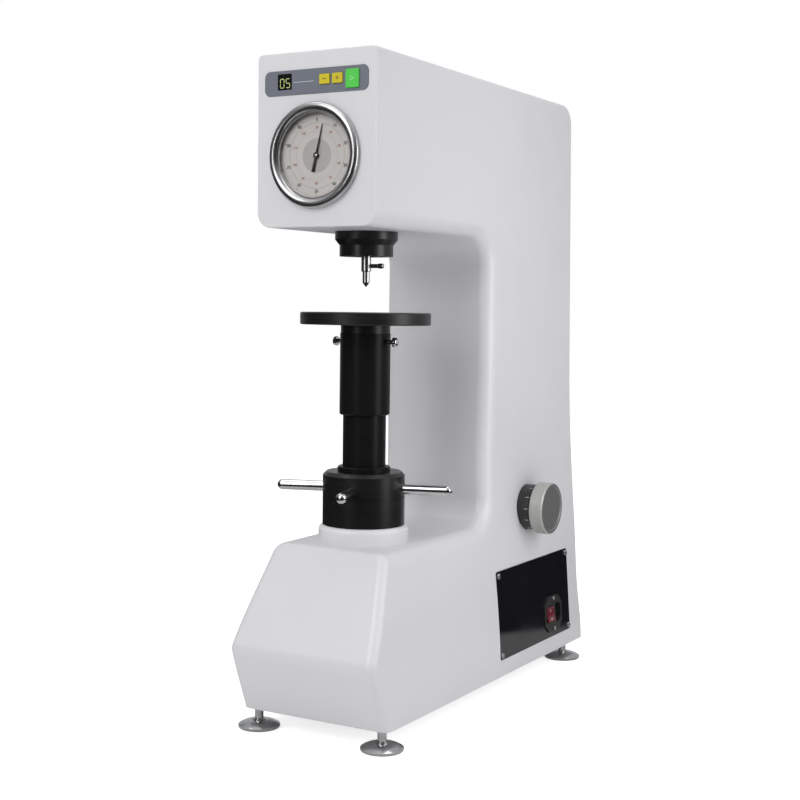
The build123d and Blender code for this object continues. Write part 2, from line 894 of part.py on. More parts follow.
def thumb_screw(plane, start, head_start, head_end, shank_r, head_r):
    """Round-headed hand screw, drawn out along a plane's normal."""
    with BuildPart() as screw:
        with BuildSketch(plane.offset(start)):
            Circle(shank_r)
        extrude(amount=head_start - start)
        with BuildSketch(plane.offset(head_start)):
            Circle(head_r)
        extrude(amount=head_end - head_start)
        tip = screw.faces().sort_by(Axis(plane.origin, plane.z_dir))[-1].edges()
        fillet(tip, radius=head_r * thumb_crown)
    return screw


set_screw_plane = flank(0, z=set_screw_z)
set_screw_start = indenter_shank_r + run_gap
set_screw_head_x = set_screw_reach - set_screw_head
set_screw = thumb_screw(
    set_screw_plane, set_screw_start, set_screw_head_x, set_screw_reach, set_screw_shank_r, set_screw_head_r
)
save(set_screw, "indenter_screw")

# ---------------------------------------------------------------------------
# Work table on the elevating screw, with its telescopic sleeves
# ---------------------------------------------------------------------------
table_points = [
    (0, table_top_z),
    (table_r - table_edge, table_top_z),
    (table_r, table_top_z - table_edge),
    (table_r, table_under_z + table_edge),
    (table_r - table_edge, table_under_z),
    (table_hub_r, table_under_z),
    (table_hub_r, sleeve_top_z),
    (0, sleeve_top_z),
]
save(turned(table_points, stack), "work_table")

with BuildPart() as elevating_screw:
    with BuildSketch(level(screw_bottom_z)):
        Circle(screw_r)
    extrude(amount=sleeve_top_z - screw_bottom_z)
    chamfer(elevating_screw.edges().group_by(Axis.Z)[0], length=screw_edge)
save(elevating_screw, "elevating_screw")

sleeve_bore_r = upper_sleeve_r - upper_sleeve_wall
with BuildPart() as upper_sleeve:
    with BuildSketch(level(upper_sleeve_bottom_z)):
        Circle(upper_sleeve_r)
        Circle(sleeve_bore_r, mode=Mode.SUBTRACT)
    extrude(amount=sleeve_top_z - upper_sleeve_bottom_z)
    with BuildSketch(level(sleeve_top_z - sleeve_cap)):
        Circle(upper_sleeve_r)
        Circle(screw_r + run_gap, mode=Mode.SUBTRACT)
    extrude(amount=sleeve_cap)
    with BuildSketch(flank(-upper_sleeve_r, z=thumb_z)):
        Circle(thumb_shank_r + run_gap)
    extrude(amount=2 * upper_sleeve_r, mode=Mode.SUBTRACT)
    foot = upper_sleeve.edges().filter_by(GeomType.CIRCLE).group_by(Axis.Z)[0].sort_by(SortBy.RADIUS)[-1]
    chamfer(foot, length=sleeve_edge)
save(upper_sleeve, "upper_sleeve")

lower_sleeve_points = [
    (lower_sleeve_r - lower_sleeve_wall, hub_top_z),
    (sleeve_foot_r, hub_top_z),
    (sleeve_foot_r, hub_top_z + sleeve_foot - sleeve_edge),
    (sleeve_foot_r - sleeve_edge, hub_top_z + sleeve_foot),
    (lower_sleeve_r, hub_top_z + sleeve_foot),
    (lower_sleeve_r, lower_sleeve_top_z),
    (lower_sleeve_r - lower_sleeve_wall, lower_sleeve_top_z),
]
save(turned(lower_sleeve_points, stack), "lower_sleeve")

with BuildPart() as sleeve_screws:
    for direction in (-1, 1):
        out = Plane(origin=level(thumb_z).origin, x_dir=(0, direction, 0), z_dir=(direction, 0, 0))
        shank_start = screw_r + part_gap
        add(thumb_screw(out, shank_start, thumb_head_start, thumb_head_end, thumb_shank_r, thumb_head_r).part)
save(sleeve_screws, "sleeve_screws")

# ---------------------------------------------------------------------------
# Handwheel: nut hub with four rods, on a washer in the deck ring
# ---------------------------------------------------------------------------
with BuildPart() as handwheel_hub:
    with BuildSketch(stack):
        with BuildLine():
            Polyline(
                (screw_r + run_gap, hub_bottom_z),
                (hub_r, hub_bottom_z),
                (hub_r, hub_groove_z - hub_groove),
                (hub_r - hub_groove, hub_groove_z - hub_groove),
                (hub_r - hub_groove, hub_groove_z),
                (hub_r, hub_groove_z),
                (hub_r, hub_top_z - hub_chamfer),
                (hub_r - hub_chamfer, hub_top_z),
                (screw_r + run_gap, hub_top_z),
                close=True,
            )
        make_face()
    revolve(axis=Axis((mid_x, spindle_y, 0), (0, 0, 1)))
    for k in range(rod_count):
        turn = math.radians(rod_turn + k * 360 / rod_count)
        spoke = (math.cos(turn), math.sin(turn), 0)
        start = Vector(mid_x, spindle_y, rod_z) + Vector(*spoke) * rod_start
        with BuildSketch(Plane(origin=start, x_dir=(-spoke[1], spoke[0], 0), z_dir=spoke)):
            Circle(rod_r + run_gap)
        extrude(amount=hub_r, mode=Mode.SUBTRACT)
save(handwheel_hub, "handwheel_hub")

for k in range(rod_count):
    turn = math.radians(rod_turn + k * 360 / rod_count)
    spoke = (math.cos(turn), math.sin(turn), 0)
    start = Vector(mid_x, spindle_y, rod_z) + Vector(*spoke) * (rod_start + run_gap)
    with BuildPart() as rod:
        with BuildSketch(Plane(origin=start, x_dir=(0, 0, 1), z_dir=(-spoke[1], spoke[0], 0))):
            length = rod_reach - rod_start - run_gap
            with BuildLine():
                Polyline((0, 0), (rod_r, 0), (rod_r, length - rod_r))
                CenterArc((0, length - rod_r), rod_r, 0, 90)
                Line((0, length), (0, 0))
            make_face()
        revolve(axis=Axis(start, spoke))
    save(rod, f"handwheel_rod_{k + 1}")

washer_bottom_z = hub_bottom_z - washer_thick
ring_top_z = hub_bottom_z - part_gap
with BuildPart() as deck_ring:
    with BuildSketch(level(deck_z)):
        Circle(ring_r)
        Circle(ring_bore_r, mode=Mode.SUBTRACT)
    extrude(amount=ring_top_z - deck_z)
    rim = deck_ring.edges().filter_by(GeomType.CIRCLE).group_by(Axis.Z)[-1].sort_by(SortBy.RADIUS)[-1]
    fillet(rim, radius=ring_round)
    with BuildSketch(level(washer_bottom_z)):
        Circle(washer_r + seat_gap)
    extrude(amount=washer_thick, mode=Mode.SUBTRACT)
save(deck_ring, "deck_ring")

with BuildPart() as thrust_washer:
    with BuildSketch(level(washer_bottom_z)):
        Circle(washer_r)
        Circle(screw_r + part_gap, mode=Mode.SUBTRACT)
    extrude(amount=washer_thick)
save(thrust_washer, "thrust_washer")

with BuildPart() as screw_guide:
    with BuildSketch(level(deck_under_z - guide_drop)):
        Circle(guide_r)
        Circle(screw_r + run_gap, mode=Mode.SUBTRACT)
    extrude(amount=deck_wall + guide_drop)
save(screw_guide, "screw_guide")

# ---------------------------------------------------------------------------
# Load selector: graduated dial, knob, shaft and selector disc
# ---------------------------------------------------------------------------
load_dial_points = [
    (shaft_r + part_gap, load_dial_seat_x),
    (load_dial_r, load_dial_seat_x),
    (load_dial_r, load_dial_end_x - load_dial_edge),
    (load_dial_r - load_dial_edge, load_dial_end_x),
    (shaft_r + part_gap, load_dial_end_x),
]
save(turned(load_dial_points, knob_section()), "load_dial")

knob_points = [
    (shaft_r, knob_back_x),
    (knob_r - knob_edge, knob_back_x),
    (knob_r, knob_back_x + knob_edge),
    (knob_r, knob_face_x - knob_edge),
    (knob_r - knob_edge, knob_face_x),
    (knob_dish_r + knob_dish, knob_face_x),
    (knob_dish_r, knob_face_x - knob_dish),
    (0, knob_face_x - knob_dish),
    (0, knob_face_x - knob_cap),
    (shaft_r, knob_face_x - knob_cap),
]
save(turned(knob_points, knob_section()), "load_knob")

with BuildPart() as load_shaft:
    with BuildSketch(flank(shaft_end_x, knob_y, knob_z)):
        Circle(shaft_r)
    extrude(amount=knob_face_x - knob_cap - shaft_end_x)
save(load_shaft, "load_shaft")

with BuildPart() as selector_disc:
    with BuildSketch(flank(selector_x, knob_y, knob_z)):
        Circle(selector_r)
        with PolarLocations(selector_r, 3):
            Circle(selector_notch_r, mode=Mode.SUBTRACT)
        Circle(shaft_r, mode=Mode.SUBTRACT)
    extrude(amount=selector_thick)
save(selector_disc, "selector_disc")

shaft_bush_points = [
    (shaft_r + run_gap, -cavity_half),
    (shaft_bush_r, -cavity_half),
    (shaft_bush_r, -cavity_half + shaft_bush_length),
    (shaft_r + run_gap, -cavity_half + shaft_bush_length),
]
save(turned(shaft_bush_points, knob_section()), "shaft_bush")

# ---------------------------------------------------------------------------
# Power plate with its mains inlet and rocker switch
# ---------------------------------------------------------------------------
plate_screw_span_y = plate_length - 2 * plate_screw_inset
plate_screw_span_z = plate_height - 2 * plate_screw_inset
with BuildPart() as power_plate:
    with BuildSketch(side_face()):
        RectangleRounded(plate_length, plate_height, plate_corner)
        with GridLocations(plate_screw_span_y, plate_screw_span_z, 2, 2):
            Circle(cover_screw_shank_r + run_gap, mode=Mode.SUBTRACT)
        with Locations((inlet_along, -inlet_drop)):
            Rectangle(inlet_body_length + 2 * seat_gap, inlet_body_height + 2 * seat_gap, mode=Mode.SUBTRACT)
    extrude(amount=plate_thick)
save(power_plate, "power_plate")

with BuildPart() as plate_screws:
    with BuildSketch(side_face(out=plate_thick)):
        with GridLocations(plate_screw_span_y, plate_screw_span_z, 2, 2):
            Circle(cover_screw_r)
    extrude(amount=cover_screw_head)
    round_heads(plate_screws, side_face())
    with BuildSketch(side_face()):
        with GridLocations(plate_screw_span_y, plate_screw_span_z, 2, 2):
            Circle(cover_screw_shank_r)
    extrude(amount=plate_thick)
save(plate_screws, "power_plate_screws")

inlet_front = plate_thick + inlet_flange_thick


def inlet_face(out, along=0.0, up=0.0):
    """Plane of the inlet at a height above the plate's seat."""
    return side_face(inlet_along + along, -inlet_drop + up, out)


def rocker_section(along):
    """Cross section of the rocker on its pin: x points out of the plate, tilted to rest."""
    pivot = inlet_face(inlet_front - rocker_sink, along)
    tilt = math.radians(rocker_tilt)
    out = pivot.z_dir * math.cos(tilt) + pivot.y_dir * math.sin(tilt)
    return Plane(origin=pivot.origin, x_dir=out, z_dir=-pivot.x_dir)


with BuildPart() as mains_inlet:
    with BuildSketch(inlet_face(plate_thick)):
        with BuildLine():
            Polyline(
                (-inlet_flange_length / 2, -inlet_flange_height / 2 + inlet_flange_cut),
                (-inlet_flange_length / 2 + inlet_flange_cut, -inlet_flange_height / 2),
                (inlet_flange_length / 2 - inlet_flange_cut, -inlet_flange_height / 2),
                (inlet_flange_length / 2, -inlet_flange_height / 2 + inlet_flange_cut),
                (inlet_flange_length / 2, inlet_flange_height / 2 - inlet_flange_cut),
                (inlet_flange_length / 2 - inlet_flange_cut, inlet_flange_height / 2),
                (-inlet_flange_length / 2 + inlet_flange_cut, inlet_flange_height / 2),
                (-inlet_flange_length / 2, inlet_flange_height / 2 - inlet_flange_cut),
                close=True,
            )
        make_face()
    extrude(amount=inlet_flange_thick)
    with BuildSketch(inlet_face(plate_thick)):
        Rectangle(inlet_body_length, inlet_body_height)
    extrude(amount=-inlet_body_depth)
    with BuildSketch(inlet_face(inlet_front, socket_along)):
        with BuildLine():
            Polyline(
                (-socket_length / 2, -socket_height / 2),
                (socket_length / 2 - socket_cut, -socket_height / 2),
                (socket_length / 2, -socket_height / 2 + socket_cut),
                (socket_length / 2, socket_height / 2 - socket_cut),
                (socket_length / 2 - socket_cut, socket_height / 2),
                (-socket_length / 2, socket_height / 2),
                close=True,
            )
        make_face()
    extrude(amount=-socket_depth, mode=Mode.SUBTRACT)
    with BuildSketch(inlet_face(inlet_front, rocker_along)):
        Rectangle(rocker_length + 2 * part_gap, rocker_height + 2 * rocker_gap)
    extrude(amount=-rocker_well, mode=Mode.SUBTRACT)
    pin_hole = rocker_pin + part_gap
    with BuildSketch(rocker_section(rocker_along - rocker_length / 2 - pin_hole)):
        Circle(rocker_pin_r + run_gap)
    extrude(amount=-(rocker_length + 2 * pin_hole), mode=Mode.SUBTRACT)
    with BuildSketch(inlet_face(inlet_front)):
        with GridLocations(0, inlet_screw_spacing, 1, 2):
            Circle(inlet_screw_shank_r + run_gap)
    extrude(amount=-inlet_flange_thick, mode=Mode.SUBTRACT)
save(mains_inlet, "mains_inlet")

with BuildPart() as inlet_pins:
    for along, up in ((-pin_step, pin_side), (-pin_step, -pin_side), (pin_step, 0)):
        with BuildSketch(inlet_face(inlet_front - socket_depth, socket_along + along, up)):
            Rectangle(pin_wide, pin_thin)
        extrude(amount=pin_length)
save(inlet_pins, "inlet_pins")

with BuildPart() as inlet_screws:
    with BuildSketch(inlet_face(inlet_front)):
        with GridLocations(0, inlet_screw_spacing, 1, 2):
            Circle(inlet_screw_r)
    extrude(amount=cover_screw_head)
    round_heads(inlet_screws, side_face())
    with BuildSketch(inlet_face(inlet_front)):
        with GridLocations(0, inlet_screw_spacing, 1, 2):
            Circle(inlet_screw_shank_r)
    extrude(amount=-inlet_flange_thick)
save(inlet_screws, "inlet_screws")

# the rocker hangs on a pin along the plate's length and rests with its lower half pressed in
rocker_half = rocker_height / 2
rocker_start = rocker_along - rocker_length / 2
with BuildPart() as power_rocker:
    with BuildSketch(rocker_section(rocker_start)):
        with BuildLine():
            Polyline(
                (rocker_crest, -rocker_half),
                (0, -rocker_half),
                (-rocker_keel, -rocker_keel_half),
                (-rocker_keel, rocker_keel_half),
                (0, rocker_half),
                (rocker_crest, rocker_half),
            )
            ThreePointArc(
                (rocker_crest, rocker_half),
                (rocker_crest - rocker_dip, 0),
                (rocker_crest, -rocker_half),
            )
        make_face()
    extrude(amount=-rocker_length)
    with BuildSketch(rocker_section(rocker_start - rocker_pin)):
        Circle(rocker_pin_r)
    extrude(amount=-(rocker_length + 2 * rocker_pin))
save(power_rocker, "power_rocker")

# ---------------------------------------------------------------------------
# Levelling feet: swivel pad and stud
# ---------------------------------------------------------------------------

def levelling_foot(x, y):
    """Domed pad with its stud and lock nut, turned about the foot's own axis."""
    with BuildPart() as foot:
        with BuildSketch(upright(y, x)):
            with BuildLine():
                edge = Polyline(
                    (0, 0),
                    (pad_r - pad_bevel, 0),
                    (pad_r, pad_bevel),
                    (pad_r, pad_edge),
                )
                dome = ThreePointArc(
                    edge @ 1,
                    ((pad_r + pad_boss_r) / 2, pad_edge + (pad_height - pad_edge) * pad_swell),
                    (pad_boss_r, pad_height - pad_bevel),
                )
                Polyline(
                    dome @ 1,
                    (pad_boss_r, pad_height),
                    (stud_r, pad_height),
                    (stud_r, stud_top_z),
                    (0, stud_top_z),
                    (0, 0),
                )
            make_face()
        revolve(axis=Axis(upright(y, x).origin, (0, 0, 1)))
    return foot


feet = {
    "foot_front_left": (-foot_x, foot_front_y),
    "foot_front_right": (foot_x, foot_front_y),
    "foot_rear_left": (-foot_x, foot_back_y),
    "foot_rear_right": (foot_x, foot_back_y),
}
for name, (x, y) in feet.items():
    save(levelling_foot(x, y), name)

# ---------------------------------------------------------------------------
# Lever works: fulcrum, lever, hanger with three weights, damper, cam and motor
# ---------------------------------------------------------------------------
with BuildPart() as fulcrum:
    with BuildSketch(flank(-fulcrum_half, pivot_y)):
        with BuildLine():
            Polyline(
                (-fulcrum_foot, head_floor_z),
                (fulcrum_foot, head_floor_z),
                (fulcrum_foot, head_floor_z + fulcrum_base),
                (fulcrum_tip, lever_z - part_gap),
                (-fulcrum_tip, lever_z - part_gap),
                (-fulcrum_foot, head_floor_z + fulcrum_base),
                close=True,
            )
        make_face()
    extrude(amount=2 * fulcrum_half)
    with BuildSketch(level(head_floor_z)):
        Circle(bush_flange_r + part_gap)
    extrude(amount=lever_z - head_floor_z, mode=Mode.SUBTRACT)
save(fulcrum, "fulcrum")

lever_plane = flank(-lever_half)
with BuildPart() as loading_lever:
    with BuildSketch(lever_plane):
        with BuildLine():
            Polyline(
                (lever_front_y, lever_z),
                (lever_back_y, lever_z),
                (lever_back_y, lever_z + lever_height),
                (lever_front_y, lever_z + lever_height),
                close=True,
            )
        make_face()
    extrude(amount=2 * lever_half)
save(loading_lever, "loading_lever")

yoke_top_z = lever_z + lever_height + part_gap
with BuildPart() as hanger:
    with BuildSketch(upright(hanger_y - yoke_half_depth)):
        with Locations((0, (yoke_top_z + yoke_top + lever_z - yoke_drop) / 2)):
            Rectangle(2 * (lever_half + yoke_clear + yoke_cheek), yoke_top_z + yoke_top - lever_z + yoke_drop)
        with Locations((0, (yoke_top_z + lever_z - yoke_drop + yoke_cheek) / 2)):
            Rectangle(
                2 * (lever_half + yoke_clear),
                yoke_top_z - lever_z + yoke_drop - yoke_cheek,
                mode=Mode.SUBTRACT,
            )
    extrude(amount=-2 * yoke_half_depth)
    with BuildSketch(level(hanger_foot_z, y=hanger_y)):
        Circle(hanger_rod_r)
    extrude(amount=lever_z - yoke_drop - hanger_foot_z)
    with BuildSketch(level(hanger_foot_z, y=hanger_y)):
        Circle(hanger_foot_r)
    extrude(amount=hanger_foot_thick)
    with BuildSketch(level(weight_bottom_z - hanger_foot_thick, y=hanger_y)):
        Circle(weight_seat_r)
    extrude(amount=hanger_foot_thick)
save(hanger, "weight_hanger")

weight_z = weight_bottom_z
for name, thick in weight_thicks.items():
    with BuildPart() as weight:
        with BuildSketch(level(weight_z, y=hanger_y)):
            Circle(weight_r)
            Circle(hanger_rod_r + run_gap, mode=Mode.SUBTRACT)
        extrude(amount=thick)
        rims = weight.edges().filter_by(GeomType.CIRCLE).filter_by(lambda e: e.radius > weight_r / 2)
        chamfer(rims, length=weight_edge)
    save(weight, f"weight_{name}")
    weight_z += thick

with BuildPart() as lifting_cam:
    with BuildSketch(flank(-cam_half, hanger_y, cam_z + cam_throw)):
        Circle(cam_r)
        with Locations((0, -cam_throw)):
            Circle(motor_shaft_r, mode=Mode.SUBTRACT)
    extrude(amount=2 * cam_half)
    with BuildSketch(flank(motor_face_x + part_gap, hanger_y, cam_z)):
        Circle(motor_shaft_r)
    extrude(amount=cam_half - motor_face_x - part_gap)
save(lifting_cam, "lifting_cam")

motor_section = Plane(origin=(mid_x, spindle_y + hanger_y, cam_z), x_dir=(0, 0, 1), z_dir=(0, 1, 0))
motor_points = [
    (0, -cavity_half),
    (motor_flange_r, -cavity_half),
    (motor_flange_r, -cavity_half + motor_flange),
    (motor_r, -cavity_half + motor_flange),
    (motor_r, motor_face_x - motor_boss),
    (motor_boss_r, motor_face_x - motor_boss),
    (motor_boss_r, motor_face_x),
    (0, motor_face_x),
]
save(turned(motor_points, motor_section), "loading_motor")

damper_axis = upright(damper_y)
bracket_front_y = column_y + column_wall
bracket_back_y = damper_y - damper_r + damper_wall / 2
with BuildPart() as damper:
    with BuildSketch(damper_axis):
        with BuildLine():
            Polyline(
                (0, damper_bottom_z),
                (damper_r, damper_bottom_z),
                (damper_r, damper_top_z),
                (damper_rod_r + run_gap, damper_top_z),
                (damper_rod_r + run_gap, damper_top_z - damper_wall),
                (damper_r - damper_wall, damper_top_z - damper_wall),
                (damper_r - damper_wall, damper_bottom_z + damper_wall),
                (0, damper_bottom_z + damper_wall),
                close=True,
            )
        make_face()
    revolve(axis=Axis(damper_axis.origin, (0, 0, 1)))
    with BuildSketch(level(damper_bottom_z)):
        with Locations((0, (bracket_front_y + bracket_back_y) / 2)):
            Rectangle(damper_r, bracket_back_y - bracket_front_y)
    extrude(amount=damper_top_z - damper_bottom_z)
save(damper, "damper_cylinder")

piston_r = damper_r - damper_wall - part_gap
piston_z = damper_bottom_z + damper_wall + piston_rest
piston_points = [
    (0, piston_z),
    (piston_r, piston_z),
    (piston_r, piston_z + piston_thick),
    (damper_rod_r, piston_z + piston_thick),
    (damper_rod_r, lever_z - part_gap),
    (0, lever_z - part_gap),
]
save(turned(piston_points, damper_axis), "damper_piston")

with BuildPart() as power_supply:
    with BuildSketch(level(floor_z, supply_x, supply_y)):
        RectangleRounded(supply_width, supply_length, supply_corner)
    extrude(amount=supply_height)
    with BuildSketch(level(floor_z + supply_height, supply_x, supply_y)):
        RectangleRounded(
            supply_width - 2 * supply_lid_inset,
            supply_length - 2 * supply_lid_inset,
            supply_corner,
        )
    extrude(amount=supply_lid)
save(power_supply, "power_supply")
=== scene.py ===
# %% [markdown]
# # A bench-top dial hardness tester
# The machine presses a small point into a metal sample and reads the depth of the dent
# on its dial. The solids come from the CAD model with every place already right, so this
# lesson dresses them: paint, plating, print on the dial, lit digits and screw heads.
# Everything is in metres, and the front of the machine faces -Y.

# %% Load the solids
import math
import bpy
from mathutils import Matrix, Vector


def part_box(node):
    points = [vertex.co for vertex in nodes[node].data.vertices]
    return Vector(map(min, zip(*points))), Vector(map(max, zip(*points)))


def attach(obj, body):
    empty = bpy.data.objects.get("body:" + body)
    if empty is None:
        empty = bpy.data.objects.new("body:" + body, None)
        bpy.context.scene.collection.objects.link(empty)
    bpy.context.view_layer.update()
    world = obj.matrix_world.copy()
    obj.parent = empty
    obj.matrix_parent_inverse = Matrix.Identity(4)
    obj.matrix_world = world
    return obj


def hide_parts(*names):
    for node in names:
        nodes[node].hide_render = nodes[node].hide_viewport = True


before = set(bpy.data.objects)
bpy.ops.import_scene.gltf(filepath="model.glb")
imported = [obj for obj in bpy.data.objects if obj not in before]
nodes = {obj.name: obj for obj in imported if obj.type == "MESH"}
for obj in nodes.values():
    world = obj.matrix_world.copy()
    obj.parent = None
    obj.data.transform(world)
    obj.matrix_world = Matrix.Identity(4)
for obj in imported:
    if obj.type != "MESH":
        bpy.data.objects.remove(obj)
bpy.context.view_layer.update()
for obj in list(bpy.context.selected_objects):
    obj.select_set(False)

# %% [markdown]
# A machine like this is measured from its spindle, the upright shaft under the head.
# A small function turns millimetres counted from the spindle axis (across, back, up
# from the bench) into a point of the scene, so that every later size reads as on a
# drawing. The few places that several steps share get their names here.

# %% A ruler that starts at the spindle
MM = 0.001
spindle_low, spindle_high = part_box("spindle")
SPINDLE_X = (spindle_low.x + spindle_high.x) / 2
SPINDLE_Y = (spindle_low.y + spindle_high.y) / 2


def at(x, y, z):
    """Point of the scene from millimetres across, back and up, counted from the spindle axis."""
    return Vector((SPINDLE_X + x * MM, SPINDLE_Y + y * MM, z * MM))


SPINDLE_AXIS = at(0, 0, 0)
HEAD_FRONT_Y = -107.5  # upright front of the head
DIAL_Z = 641.0  # centre of the dial above the bench
DIAL_CENTRE = at(0, HEAD_FRONT_Y, DIAL_Z)
SET_SCREW_Z = 525.8  # screw that holds the indenter
KNOB_CENTRE = at(0, 277.5, 223)
print("spindle axis at", round(SPINDLE_X, 5), round(SPINDLE_Y, 5))

# %% [markdown]
# Several finishes share one effect, such as the faint ripple of sprayed enamel or the
# fine rings that a lathe leaves. Each effect is a node group with named inputs, built
# once and placed in each material with its own values. These helpers make the empty
# group, add nodes and join them; a group gives out colours and values, never a shader.

# %% Helpers for node groups
FLOAT = "NodeSocketFloat"
COLOUR = "NodeSocketColor"
VECTOR = "NodeSocketVector"


def new_effect(name, inputs, outputs):
    """Empty node group with its named sockets; gives the tree, its entry and its exit."""
    tree = bpy.data.node_groups.new(name, "ShaderNodeTree")
    for label, kind, value in inputs:
        socket = tree.interface.new_socket(label, in_out="INPUT", socket_type=kind)
        if value is not None:
            socket.default_value = value
    for label, kind in outputs:
        tree.interface.new_socket(label, in_out="OUTPUT", socket_type=kind)
    entry = tree.nodes.new("NodeGroupInput")
    leave = tree.nodes.new("NodeGroupOutput")
    return tree, entry, leave


def add_node(tree, kind, **settings):
    """New node with its settings; plain values go to sockets of that name or number."""
    node = tree.nodes.new(kind)
    for key, value in settings.items():
        if key == "values":
            for socket, number in value.items():
                node.inputs[socket].default_value = number
        else:
            setattr(node, key, value)
    return node


def wire(tree, *links):
    """Joins nodes: each link names a node and its output, then a node and its input."""
    for source, out_socket, target, in_socket in links:
        tree.links.new(source.outputs[out_socket], target.inputs[in_socket])


# %% [markdown]
# Sprayed enamel is never quite even. Seen close, the skin has the slow ripple that
# painters call orange peel, and over a hand's width the tone drifts by a percent or two.
# Two noise textures do this: a coarse one for tone and gloss, a fine one for the ripple.

# %% Effect: sprayed skin
sprayed, entry, leave = new_effect(
    "sprayed skin",
    [("Colour", COLOUR, (0.8, 0.8, 0.8, 1)), ("Shade Colour", COLOUR, (0.75, 0.75, 0.75, 1)),
     ("Roughness", FLOAT, 0.3), ("Patch Scale", FLOAT, 9.0), ("Peel Scale", FLOAT, 260.0)],
    [("Colour", COLOUR), ("Roughness", FLOAT), ("Height", FLOAT)],
)
where = add_node(sprayed, "ShaderNodeTexCoord")
patch = add_node(sprayed, "ShaderNodeTexNoise", values={"Detail": 3.0})
peel = add_node(sprayed, "ShaderNodeTexNoise", values={"Detail": 1.0})
tone = add_node(sprayed, "ShaderNodeMapRange", values={"From Min": 0.35, "From Max": 0.65})
drift = add_node(sprayed, "ShaderNodeMix", data_type="RGBA")
gloss = add_node(sprayed, "ShaderNodeMath", operation="MULTIPLY_ADD", values={1: 0.10})
for tex, scale in ((patch, "Patch Scale"), (peel, "Peel Scale")):
    wire(sprayed, (where, "Object", tex, "Vector"),
         (entry, scale, tex, "Scale"))
wire(sprayed,
     (patch, "Fac", tone, "Value"),
     (tone, "Result", drift, "Factor"),
     (entry, "Colour", drift, "A"),
     (entry, "Shade Colour", drift, "B"),
     (drift, "Result", leave, "Colour"),
     (tone, "Result", gloss, 0),
     (entry, "Roughness", gloss, 2),
     (gloss, 0, leave, "Roughness"),
     (peel, "Fac", leave, "Height"))
print("effect:", sprayed.name)

# %% [markdown]
# A lathe leaves fine rings round the axis of a part: circles on its flat faces and
# bands on its sides. The group takes a position already centred on that axis, turns it
# into radius and height, and stretches a noise over those two, so the rings run true on
# every face of the piece. They show as small changes of gloss more than of colour.

# %% Effect: turned rings
turned, entry, leave = new_effect(
    "turned rings",
    [("Position", VECTOR, None), ("Colour", COLOUR, (0.6, 0.6, 0.6, 1)),
     ("Ring Colour", COLOUR, (0.5, 0.5, 0.5, 1)), ("Roughness", FLOAT, 0.3),
     ("Ring Roughness", FLOAT, 0.45), ("Ring Scale", FLOAT, 1800.0)],
    [("Colour", COLOUR), ("Roughness", FLOAT), ("Height", FLOAT)],
)
axes = add_node(turned, "ShaderNodeSeparateXYZ")
flat = add_node(turned, "ShaderNodeCombineXYZ")
radius = add_node(turned, "ShaderNodeVectorMath", operation="LENGTH")
polar = add_node(turned, "ShaderNodeCombineXYZ")
rings = add_node(turned, "ShaderNodeTexNoise", values={"Detail": 2.0, "Roughness": 0.6})
ring_mask = add_node(turned, "ShaderNodeMapRange", values={"From Min": 0.38, "From Max": 0.62})
ring_tint = add_node(turned, "ShaderNodeMix", data_type="RGBA")
ring_gloss = add_node(turned, "ShaderNodeMix", data_type="FLOAT")
wire(turned,
     (entry, "Position", axes, 0),
     (axes, "X", flat, "X"),
     (axes, "Y", flat, "Y"),
     (flat, 0, radius, 0),
     (radius, "Value", polar, "X"),
     (axes, "Z", polar, "Z"),
     (polar, 0, rings, "Vector"),
     (entry, "Ring Scale", rings, "Scale"),
     (rings, "Fac", ring_mask, "Value"),
     (ring_mask, "Result", ring_tint, "Factor"),
     (entry, "Colour", ring_tint, "A"),
     (entry, "Ring Colour", ring_tint, "B"),
     (ring_tint, "Result", leave, "Colour"),
     (ring_mask, "Result", ring_gloss, "Factor"),
     (entry, "Roughness", ring_gloss, "A"),
     (entry, "Ring Roughness", ring_gloss, "B"),
     (ring_gloss, "Result", leave, "Roughness"),
     (rings, "Fac", leave, "Height"))
print("effect:", turned.name)

# %% [markdown]
# Moulded plastic and castings have a fine grain instead, the same in every direction.
# One noise gives both the tiny bumps and a slight mottling of the gloss.

# %% Effect: fine grain
grained, entry, leave = new_effect(
    "fine grain",
    [("Colour", COLOUR, (0.5, 0.5, 0.5, 1)), ("Pit Colour", COLOUR, (0.4, 0.4, 0.4, 1)),
     ("Roughness", FLOAT, 0.4), ("Grain Scale", FLOAT, 1500.0)],
    [("Colour", COLOUR), ("Roughness", FLOAT), ("Height", FLOAT)],
)
where = add_node(grained, "ShaderNodeTexCoord")
speck = add_node(grained, "ShaderNodeTexNoise", values={"Detail": 3.0, "Roughness": 0.65})
pits = add_node(grained, "ShaderNodeMapRange", values={"From Min": 0.4, "From Max": 0.7})
mottle = add_node(grained, "ShaderNodeMix", data_type="RGBA")
matt = add_node(grained, "ShaderNodeMath", operation="MULTIPLY_ADD", values={1: 0.12})
wire(grained,
     (where, "Object", speck, "Vector"),
     (entry, "Grain Scale", speck, "Scale"),
     (speck, "Fac", pits, "Value"),
     (pits, "Result", mottle, "Factor"),
     (entry, "Colour", mottle, "A"),
     (entry, "Pit Colour", mottle, "B"),
     (mottle, "Result", leave, "Colour"),
     (pits, "Result", matt, 0),
     (entry, "Roughness", matt, 2),
     (matt, 0, leave, "Roughness"),
     (speck, "Fac", leave, "Height"))
print("effect:", grained.name)

# %% [markdown]
# One function sets up any finish: it makes the material, places an effect group beside
# the Principled shader and joins colour, roughness and a Bump to it. Values that are the
# same all over, such as metallic or coat, are set straight on the shader.

# %% Making a finish


def grey(level):
    """Linear grey as a full colour."""
    return (level, level, level, 1.0)


